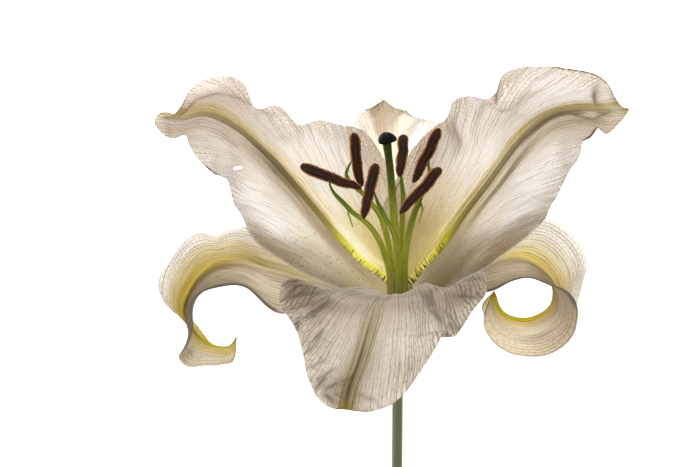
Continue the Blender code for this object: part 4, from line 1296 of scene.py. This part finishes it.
# The furrow's papillae: one modelled upright, then copied along the furrow's edge, longer on the right
papillae = {
    "sides": 6,
    "rings": 7,
    "radius": 0.27,
    "tip": 0.30,  # share of the radius left at the tip
    "offset": 0.15,  # mm behind the furrow's line, from where they spread forwards
    "spread": 0.7,
    "rooted": 0.15,  # mm that the foot is sunk in
    "petalLeft": {"count": 30, "from": 5.0, "to": 36.0, "lengths": (1.5, 3.4), "curl": 0.5, "seed": 4},
    "petalRight": {"count": 34, "from": 6.0, "to": 33.0, "lengths": (2.4, 5.8), "curl": 0.9, "seed": 9},
}


def modelPapilla(look):
    centres = np.column_stack([np.zeros((look["rings"], 2)), np.linspace(0.0, 1.0, look["rings"])])
    return addTube("papilla", centres, lambda share, _: 1.0 - (1.0 - look["tip"]) * share, look["sides"])


def plantPapilla(first, base, way, bend, length):
    # a copy with its own mesh, carried to its place and curled towards the bend
    copy = first.copy()
    copy.data = first.data.copy()
    bpy.context.scene.collection.objects.link(copy)
    start = pointsOf(copy.data)
    share = start[:, 2:3]
    sideways = unit(np.cross(way, [0.3, 0.2, 1.0]))
    up = np.cross(way, sideways)
    centre = base + length * mm * (share * way + share**2 * bend)
    girth = (start[:, 0:1] * sideways + start[:, 1:2] * up) * papillae["radius"] * mm
    copy.data.vertices.foreach_set("co", (centre + girth).ravel())
    return copy


def growPapillae(name, first, look):
    surface, ways, across, upward = grown[name]
    lean = tepals[name]["lean"]
    dice = random.Random(look["seed"])
    lastRow, lastColumn = across.shape[0] - 1, across.shape[1] - 1
    copies = []
    for number in range(look["count"]):
        step = (look["to"] - look["from"]) * (number + dice.uniform(-0.4, 0.4)) / look["count"]
        height = look["from"] + step
        beside = leanAt(np.array(height), lean) + papillae["offset"] - dice.uniform(0.0, papillae["spread"])
        nearest = np.argmin((across - beside) ** 2 + (upward - height) ** 2)
        row, column = np.unravel_index(nearest, across.shape)
        outward = unit(surface[row, min(column + 4, lastColumn)] - surface[row, column])
        onward = unit(surface[min(row + 4, lastRow), column] - surface[row, column])
        inward = -unit(ways[row, column])
        way = unit(0.9 * outward + 0.55 * inward + dice.uniform(-0.5, 0.6) * onward)
        bend = look["curl"] * (0.7 * onward * dice.uniform(-0.3, 1.0) + inward * dice.uniform(-0.2, 0.6))
        length = dice.uniform(*look["lengths"]) * (1.15 - 0.5 * height / look["to"])
        base = surface[row, column] - way * papillae["rooted"] * mm
        copies.append(plantPapilla(first, base, way, bend, length))
    piece = joinAll(copies)
    piece.name = name + "Papillae"
    return piece


# The stem below and the receptacle that carries the tepals
stem = {
    "neck": [  # mm up the flower's axis, and radius
        (-0.3, 7.0), (-1.0, 6.9), (-2.0, 6.5), (-3.5, 5.5),
        (-5.0, 4.5), (-7.0, 3.6), (-9.0, 3.0), (-14.0, 2.35),
    ],
    "bend": [(-20.7, 20.5), (-42.0, 12.7), (-58.0, 7.1), (-73.0, 3.5), (-88.0, 2.4), (-102.95, 2.35)],
    "radius": 2.3,
    "rings": 70,
    "sides": 40,
    "boss": 0.05,  # share of the radius by which the neck swells under each tepal
    "fibre": 0.012,
}


def stemPath(look):
    neck = onTable(np.array([(0.0, 0.0, along) for along, _ in look["neck"]]))
    rest = evenly([(0.0, y, z) for y, z in look["bend"]], look["rings"] - len(neck))
    rest = (rest - np.array(pose["shift"])) * mm
    return np.vstack([neck, rest])


def stemReach(look):
    ringRadius = np.full(look["rings"], look["radius"])
    ringRadius[:len(look["neck"])] = [radius for _, radius in look["neck"]]
    neckShare = len(look["neck"]) / look["rings"]

    def reach(share, angle):
        radius = ringRadius[np.round(share * (look["rings"] - 1)).astype(int)]
        atNeck = np.clip(1 - share / neckShare, 0, 1)
        boss = 1 + look["boss"] * atNeck * np.cos(6 * angle)
        fibre = 1 - look["fibre"] * (1 - atNeck) * np.cos(14 * angle) ** 2
        return radius * boss * fibre * mm

    return reach


plantSkin = {
    "blotches": {"Size": 6.0, "Sharpness": 0.6},
    "blotchDepth": 0.35,
    "fibresRound": 6.0,
    "fibresAlong": 0.05,  # for each mm
    "fibresFrom": (0.35, 0.65),
    "bump": (0.35, 0.1),
}


def greenMaterial(name, look):
    # plant skin: fine lengthwise fibres and soft blotches
    material, tree, shader = newMaterial(name)
    angle, along, share = readKept(tree, "tubePlace")
    blotch = useGroup(tree, blotchGroup, plantSkin["blotches"])
    x = calc(tree, "MULTIPLY", calc(tree, "SINE", angle), plantSkin["fibresRound"])
    y = calc(tree, "MULTIPLY", along, plantSkin["fibresAlong"])
    z = calc(tree, "MULTIPLY", calc(tree, "COSINE", angle), plantSkin["fibresRound"])
    fibre = noiseOf(tree, placeOf(tree, x, y, z), 1.0, 3.0)
    colour = blendOf(tree, rampOf(tree, fibre, *plantSkin["fibresFrom"]), look["low"], look["high"])
    patch = calc(tree, "MULTIPLY", blotch["Mask"], plantSkin["blotchDepth"])
    colour = blendOf(tree, patch, colour, look["high"])
    colour = blendOf(tree, rampOf(tree, share, look["topFrom"], look["topTo"]), colour, look["top"])
    colour = blendOf(tree, fallOf(tree, share, 0.0, look["footTo"]), colour, look["foot"])
    setSurface(tree, shader, colour, bumpOf(tree, fibre, *plantSkin["bump"]), look)
    return material


stemSkin = greenMaterial("stemSkin", {
    "low": (0.31, 0.33, 0.20, 1.0), "high": (0.44, 0.46, 0.27, 1.0),
    "foot": (0.56, 0.60, 0.26, 1.0), "footTo": 0.10,
    "top": (0.38, 0.40, 0.24, 1.0), "topFrom": 0.5, "topTo": 1.0, "through": 0.45,
    "roughness": 0.5,
})
papillaSkin = greenMaterial("papillaSkin", {
    "low": (0.20, 0.21, 0.05, 1.0), "high": (0.36, 0.38, 0.09, 1.0),
    "foot": (0.50, 0.52, 0.10, 1.0), "footTo": 0.30,
    "top": (0.22, 0.23, 0.07, 1.0), "topFrom": 0.3, "topTo": 1.0, "through": 0.6,
    "roughness": 0.45,
})
firstPapilla = modelPapilla(papillae)
for name in ("petalLeft", "petalRight"):
    piece = growPapillae(name, firstPapilla, papillae[name])
    finishPiece(piece, papillaSkin)
bpy.data.objects.remove(firstPapilla)
print("papillae planted")

stemPiece = addTube("stemStalk", stemPath(stem), stemReach(stem), stem["sides"])
finishPiece(stemPiece, stemSkin)
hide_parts("stem")
print("stem made")

# The ovary and style in one, with the stigma's head on its end
pistil = {
    "ovary": [(0.0, 0.0, 0.0), (0.0, 0.0, 12.0), (0.0, 0.0, 24.0)],
    "style": [(-1.5, 0.5, 38.0), (-2.5, 1.0, 51.0), (-3.5, 1.5, 63.0), (-5.0, 2.0, 75.5)],
    "length": 76.0,  # mm
    "ovaryTop": 18.0,
    "ovaryFade": 5.0,
    "ovaryRadius": 2.25,
    "ovaryFurrows": 0.05,  # share of the radius
    "styleRadius": 1.6,
    "styleFurrows": 0.03,
    "flareFrom": 70.0,  # mm, below the stigma
    "flare": 0.3,
    "rings": 90,
    "sides": 36,
    "stigmaRadius": 4.3,
    "stigmaHeight": 5.2,
    "stigmaLift": 0.2,
    "sunk": 0.5,  # mm that the head is sunk onto the style
    "caps": (0.90, 0.62),  # how full the head is above and below its rim
    "hollow": 0.10,
    "droop": 0.55,
    "lobe": 0.10,
    "cleft": 0.10,
    "cleftWidth": 0.22,
    "grain": 0.035,
}
stigmaColours = {
    "low": (0.005, 0.0035, 0.003, 1.0),
    "high": (0.016, 0.009, 0.007, 1.0),
    "blotches": {"Size": 1.6, "Sharpness": 0.5},
    "bump": (0.6, 0.2),
    "roughness": 0.55,
    "shine": 0.15,
}


def pistilReach(share, angle):
    along = share * pistil["length"]
    ovary = np.clip((pistil["ovaryTop"] - along) / pistil["ovaryFade"], 0, 1)
    flare = pistil["flare"] * np.clip((along - pistil["flareFrom"]) / 6.0, 0, 1)
    radius = pistil["styleRadius"] + (pistil["ovaryRadius"] - pistil["styleRadius"]) * ovary + flare
    onOvary = pistil["ovaryFurrows"] * ovary * (1 + np.cos(6 * angle)) / 2
    onStyle = pistil["styleFurrows"] * (1 - ovary) * (1 + np.cos(3 * angle)) / 2
    return radius * (1 - onOvary - onStyle) * mm


styleSkin = greenMaterial("styleSkin", {
    "low": (0.42, 0.50, 0.08, 1.0), "high": (0.86, 0.90, 0.22, 1.0),
    "foot": (0.62, 0.62, 0.40, 1.0), "footTo": 0.40,
    "top": (0.16, 0.21, 0.05, 1.0), "topFrom": 0.50, "topTo": 0.95, "through": 0.70,
    "roughness": 0.38,
})
stylePath = onTable(evenly(pistil["ovary"] + pistil["style"], pistil["rings"]))
stylePiece = addTube("pistilStyle", stylePath, pistilReach, pistil["sides"])
finishPiece(stylePiece, styleSkin)
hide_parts("pistil")


def addStigma(look):
    # a moist head with three lobes that curl down round the style
    head, mesh = startPiece("stigmaHead", bpy.ops.mesh.primitive_uv_sphere_add, segments=72, ring_count=44)
    ball = pointsOf(mesh)
    turn = np.arctan2(ball[:, 1], ball[:, 0])
    wide = np.hypot(ball[:, 0], ball[:, 1])
    lobe = 1 - look["lobe"] + look["lobe"] * np.cos(3 * turn)
    fromCleft = (turn * 3 / math.pi) % 2 - 1
    cleft = np.exp(-(fromCleft / look["cleftWidth"]) ** 2) * np.clip(ball[:, 2] + 0.3, 0, 1)
    grains = np.array([noise.noise(Vector(p) * 9.0) for p in ball])
    swollen = 1 + look["grain"] * grains - look["cleft"] * cleft
    x, y = (ball[:, :2] * look["stigmaRadius"] * (lobe * swollen)[:, None]).T
    cap = np.where(ball[:, 2] > 0, *look["caps"]) * ball[:, 2]
    z = look["stigmaHeight"] / 2 * (cap * swollen - look["hollow"] * (1 - wide) - look["droop"] * wide**2)
    end, before = stylePath[-1], stylePath[-2]
    axis = unit(end - before)
    side = unit(np.cross(axis, [0.0, 0.0, 1.0]))
    up = np.cross(side, axis)
    centre = end + axis * (look["stigmaHeight"] / 2 + look["stigmaLift"] - look["sunk"]) * mm
    places = centre + (x[:, None] * side + y[:, None] * up + z[:, None] * axis) * mm
    mesh.vertices.foreach_set("co", places.ravel())
    turnOutward()
    bpy.ops.object.shade_smooth()
    return head


def stigmaMaterial(look):
    material, tree, shader = newMaterial("stigmaSkin")
    blotch = useGroup(tree, blotchGroup, look["blotches"])
    colour = blendOf(tree, blotch["Mask"], look["low"], look["high"])
    setSurface(tree, shader, colour, bumpOf(tree, blotch["Fine"], *look["bump"]), look)
    return material


stigmaPiece = addStigma(pistil)
finishPiece(stigmaPiece, stigmaMaterial(stigmaColours))
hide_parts("stigma")
print("pistil made")

# Each stamen's place round the pistil in degrees, its stalk's path, and its anther's two ends
stamens = [
    (210, [(-4, -3, 22), (-5.5, -4, 27.5), (-7.5, -5.5, 34), (-11, -7.5, 41), (-15, -9.5, 46),
           (-19.5, -11, 50), (-23, -12.5, 54.5), (-26, -13.5, 58), (-28, -14, 61.5), (-29, -14, 64)],
     [(-40.5, -10, 69.5), (-15.5, -13, 60.5)]),
    (150, [(-3, 4, 22.5), (-4, 6, 29), (-5.5, 8, 35), (-7.5, 10, 40.5), (-11, 12, 45), (-15.5, 13.5, 50),
           (-20.2, 14.5, 54), (-21.8, 15, 57.5), (-20.9, 15, 60.5), (-19.6, 15, 63.5)],
     [(-19, 12, 76.5), (-15.5, 17, 51)]),
    (270, [(0, -5, 25.5), (-1, -7.5, 35), (-3, -10.5, 42.5), (-5.5, -13, 47.5), (-7.5, -15.5, 52.5),
           (-9, -17.5, 56.5), (-11, -19, 61.5)],
     [(-9.5, -13, 71.5), (-15, -24, 51.5)]),
    (90, [(1, 6, 21.5), (1, 9, 28), (1.5, 12, 34.5), (2, 15, 41.5), (2, 17.5, 48), (1.5, 19, 52.5),
          (1, 20, 57.5)],
     [(2.5, 28, 70.5), (0.5, 15, 56)]),
    (30, [(2, 3, 19), (3, 4, 27), (4, 5.5, 33.5), (5.5, 7.5, 39.5), (8, 9.5, 46), (11, 11, 52.5),
          (13, 12, 58.5), (12.5, 12.5, 62.5), (13, 13, 65.5)],
     [(17, 10, 79), (6, 14, 54)]),
    (330, [(2.5, -3, 21.5), (3, -5, 30), (4, -7, 37.5), (5.5, -9, 45), (7, -11, 50.5), (8.5, -12.5, 54.5),
           (9, -13.5, 57.5)],
     [(17, -10, 68.5), (0, -16, 51)]),
]
slivers = {
    1: [[(-19.0, -10.8, 49.6), (-20.8, -9.6, 49.6), (-20.2, -8.8, 46.2), (-19.0, -8.2, 42.4)],
        [(-23.0, -12.2, 54.5), (-21.2, -11.0, 51.5), (-19.6, -10.4, 49.0)]],
    2: [[(-20.5, 14.8, 55.0), (-22.6, 15.8, 53.2), (-22.8, 16.0, 50.8)]],
    4: [[(1.6, 19.2, 52.5), (0.0, 19.6, 51.4), (-0.8, 19.8, 48.6)]],
    5: [[(12.8, 12.0, 58.0), (13.2, 12.6, 54.0), (12.6, 12.4, 50.5)]],
    6: [[(8.6, -12.2, 54.2), (9.4, -11.6, 51.8), (8.9, -11.0, 48.0), (8.0, -10.6, 44.6)]],
}
stamen = {
    "ring": 3.4,
    "knee": 9.0,  # mm up, where the stalk leaves the ring
    "footRadius": 1.40,
    "waistRadius": 0.95,
    "waistAt": 0.84,  # share of the stalk's length
    "hinge": 0.28,  # mm radius where the stalk joins the anther
    "sunk": 0.3,  # mm that it is sunk in
    "flat": 0.16,
    "rings": 60,
    "sides": 16,
    "halfWidth": 2.3,
    "halfDepth": 2.0,
    "lobe": 0.06,
    "seam": 0.16,  # share of the radius by which the seam down the anther's face sinks
    "seamWidth": 0.22,  # radians round the anther, as for the other two
    "sideWidth": 0.14,
    "rimWidth": 0.95,
    "rough": 0.17,
    "bumpy": 0.05,
    "taper": 0.10,  # the end that hangs is narrower
    "blunt": (7.0, 3.4),  # how square the free end is, and the hanging one
    "sliver": (0.62, 0.45),  # mm radius of a torn sliver, and how much of it tapers off
    "sliverRings": 14,
    "sliverSides": 8,
    "sway": 0.35,  # mm, the slow bend of its middle
}
sacColours = {
    "dark": (0.014, 0.006, 0.004, 1.0),
    "rusty": (0.090, 0.024, 0.010, 1.0),
    "blotch": (0.030, 0.012, 0.008, 1.0),
    "pollen": (1.0, 0.36, 0.04, 1.0),
    "seam": (0.24, 0.075, 0.030, 1.0),
    "seamDepth": 0.35,
    "blotchDepth": 0.5,
    "blotches": {"Size": 1.2, "Sharpness": 0.6},
    "streaks": (5.0, 5.0, 3.0),  # across the seam, round the edges and along
    "streaksFrom": (0.4, 0.62),
    "grainsFrom": (0.40, 0.50),
    "pollenFrom": (0.45, 0.9),  # nearness to the edges
    "bump": (0.8, 0.2),
    "roughness": 0.75,
}


def filamentPath(azimuth, path, anther):
    angle = math.radians(azimuth)
    foot = np.array([stamen["ring"] * math.cos(angle), stamen["ring"] * math.sin(angle), 0.0])
    knee = np.array([1.06 * foot[0], 1.06 * foot[1], stamen["knee"]])
    start, end = np.array(anther, dtype=float)
    way = unit(end - start)
    near = np.array(path[-1], dtype=float)
    onAxis = start + way * np.dot(near - start, way)
    tip = onAxis + unit(near - onAxis) * (stamen["halfWidth"] - stamen["sunk"])
    return onTable(evenly([foot, knee, *path[:-1], tip], stamen["rings"]))


def filamentReach(share, angle):
    towardsWaist = np.clip(share / stamen["waistAt"], 0, 1)
    thin = stamen["footRadius"] + (stamen["waistRadius"] - stamen["footRadius"]) * towardsWaist
    hinge = np.clip((share - stamen["waistAt"]) / (1 - stamen["waistAt"]), 0, 1)
    thin = thin + (stamen["hinge"] - thin) * hinge**1.3
    return thin * (1 + stamen["flat"] * np.cos(2 * angle) * (1 - share)) * mm


def addSpurs(stalk, spurs):
    # torn slivers of skin that hang from the stalk, each a thin tapered strand grown into it
    strands = [stalk]
    thick, taper = stamen["sliver"]
    sides = stamen["sliverSides"]
    for rows in spurs:
        path = onTable(evenly(rows, stamen["sliverRings"]))
        strands.append(addTube("sliver", path, lambda share, _: (thick - taper * share) * mm, sides))
    return joinAll(strands)


def addAnther(number, anther, look):
    # a spindle with two pollen sacs, seamed down its faces, and its rough skin
    name = f"anther{number}Sacs"
    piece, mesh = startPiece(name, bpy.ops.mesh.primitive_uv_sphere_add, segments=64, ring_count=88)
    ball = pointsOf(mesh)
    start, end = onTable(np.array(anther, dtype=float))
    axis = unit(end - start)
    halfLength = np.linalg.norm(end - start) / 2
    wide = np.hypot(ball[:, 0], ball[:, 1])
    turn = np.arctan2(ball[:, 1], ball[:, 0])
    height = np.sign(ball[:, 2]) * (1 - (1 - np.abs(ball[:, 2])) ** 1.15)
    squareness = np.where(height < 0, *look["blunt"])
    belly = np.sqrt(np.maximum(0.0, 1 - np.abs(height) ** squareness)) * (1 - look["taper"] * height)
    lobe = 1 - look["lobe"] + look["lobe"] * np.cos(2 * turn)
    quarters = (-math.pi / 2, math.pi / 2)
    faces = sum(np.exp(-(((turn + quarter) / look["seamWidth"]) ** 2)) for quarter in quarters)
    fromSide = np.minimum(np.abs(turn), math.pi - np.abs(turn))
    sides = np.exp(-((fromSide / look["sideWidth"]) ** 2))
    rim = np.exp(-((fromSide / look["rimWidth"]) ** 2))
    seams = look["seam"] * faces * belly + 0.5 * look["seam"] * sides * belly
    rough = np.array([noise.noise(Vector((x * 4, y * 4, z * 16 + number * 5))) for x, y, z in ball])
    slow = np.array([noise.noise(Vector((h * 2.2, number * 3.7, 0.0))) for h in height])
    bumps = np.array([noise.noise(Vector((math.cos(t) * 3, math.sin(t) * 3, h * 2.0 + number)))
                      for t, h in zip(turn, height)])
    radius = belly * lobe * (1 - seams + look["rough"] * rough + look["bumpy"] * bumps)
    direction = np.where(wide > 1e-6, 1 / np.maximum(wide, 1e-6), 0)
    x = ball[:, 0] * direction * radius * look["halfWidth"] * mm
    y = ball[:, 1] * direction * radius * look["halfDepth"] * mm
    across = unit(np.cross(axis, [0.0, 0.0, 1.0]))
    up = np.cross(across, axis)
    x = x + look["sway"] * mm * slow * 2
    places = (start + end) / 2 + x[:, None] * across + y[:, None] * up + (height * halfLength)[:, None] * axis
    mesh.vertices.foreach_set("co", places.ravel())
    keep(mesh, "sacPlace", (rim, faces, height))
    turnOutward()
    bpy.ops.object.shade_smooth()
    return piece


def antherMaterial(look):
    # dark sacs with paler lengthwise streaks, a rusty seam, and bright pollen along the edges
    material, tree, shader = newMaterial("pollenSacs")
    rim, seams, height = readKept(tree, "sacPlace")
    blotch = useGroup(tree, blotchGroup, look["blotches"])
    run = [calc(tree, "MULTIPLY", *pair) for pair in zip((seams, rim, height), look["streaks"])]
    streaks = rampOf(tree, noiseOf(tree, placeOf(tree, *run), 1.0, 3.0), *look["streaksFrom"])
    colour = blendOf(tree, streaks, look["dark"], look["rusty"])
    patch = calc(tree, "MULTIPLY", blotch["Mask"], look["blotchDepth"])
    colour = blendOf(tree, patch, colour, look["blotch"])
    grains = rampOf(tree, blotch["Fine"], *look["grainsFrom"])
    pollen = calc(tree, "MULTIPLY", rampOf(tree, rim, *look["pollenFrom"]), grains)
    colour = blendOf(tree, pollen, colour, look["pollen"])
    colour = blendOf(tree, calc(tree, "MULTIPLY", seams, look["seamDepth"]), colour, look["seam"])
    setSurface(tree, shader, colour, bumpOf(tree, blotch["Fine"], *look["bump"]), look)
    return material


filamentSkin = greenMaterial("filamentSkin", {
    "low": (0.36, 0.42, 0.07, 1.0), "high": (0.88, 0.90, 0.24, 1.0),
    "foot": (0.62, 0.62, 0.39, 1.0), "footTo": 0.40,
    "top": (0.30, 0.40, 0.05, 1.0), "topFrom": 0.55, "topTo": 1.0, "through": 0.72,
    "roughness": 0.42,
})
sacSkin = antherMaterial(sacColours)
for number, (azimuth, path, anther) in enumerate(stamens, start=1):
    centres = filamentPath(azimuth, path, anther)
    stalk = addTube(f"filament{number}Stalk", centres, filamentReach, stamen["sides"])
    addSpurs(stalk, slivers.get(number, []))
    finishPiece(stalk, filamentSkin)
    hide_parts(f"filament_{number}")
    sacs = addAnther(number, anther, stamen)
    finishPiece(sacs, sacSkin)
    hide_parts(f"anther_{number}")
print("stamens made")
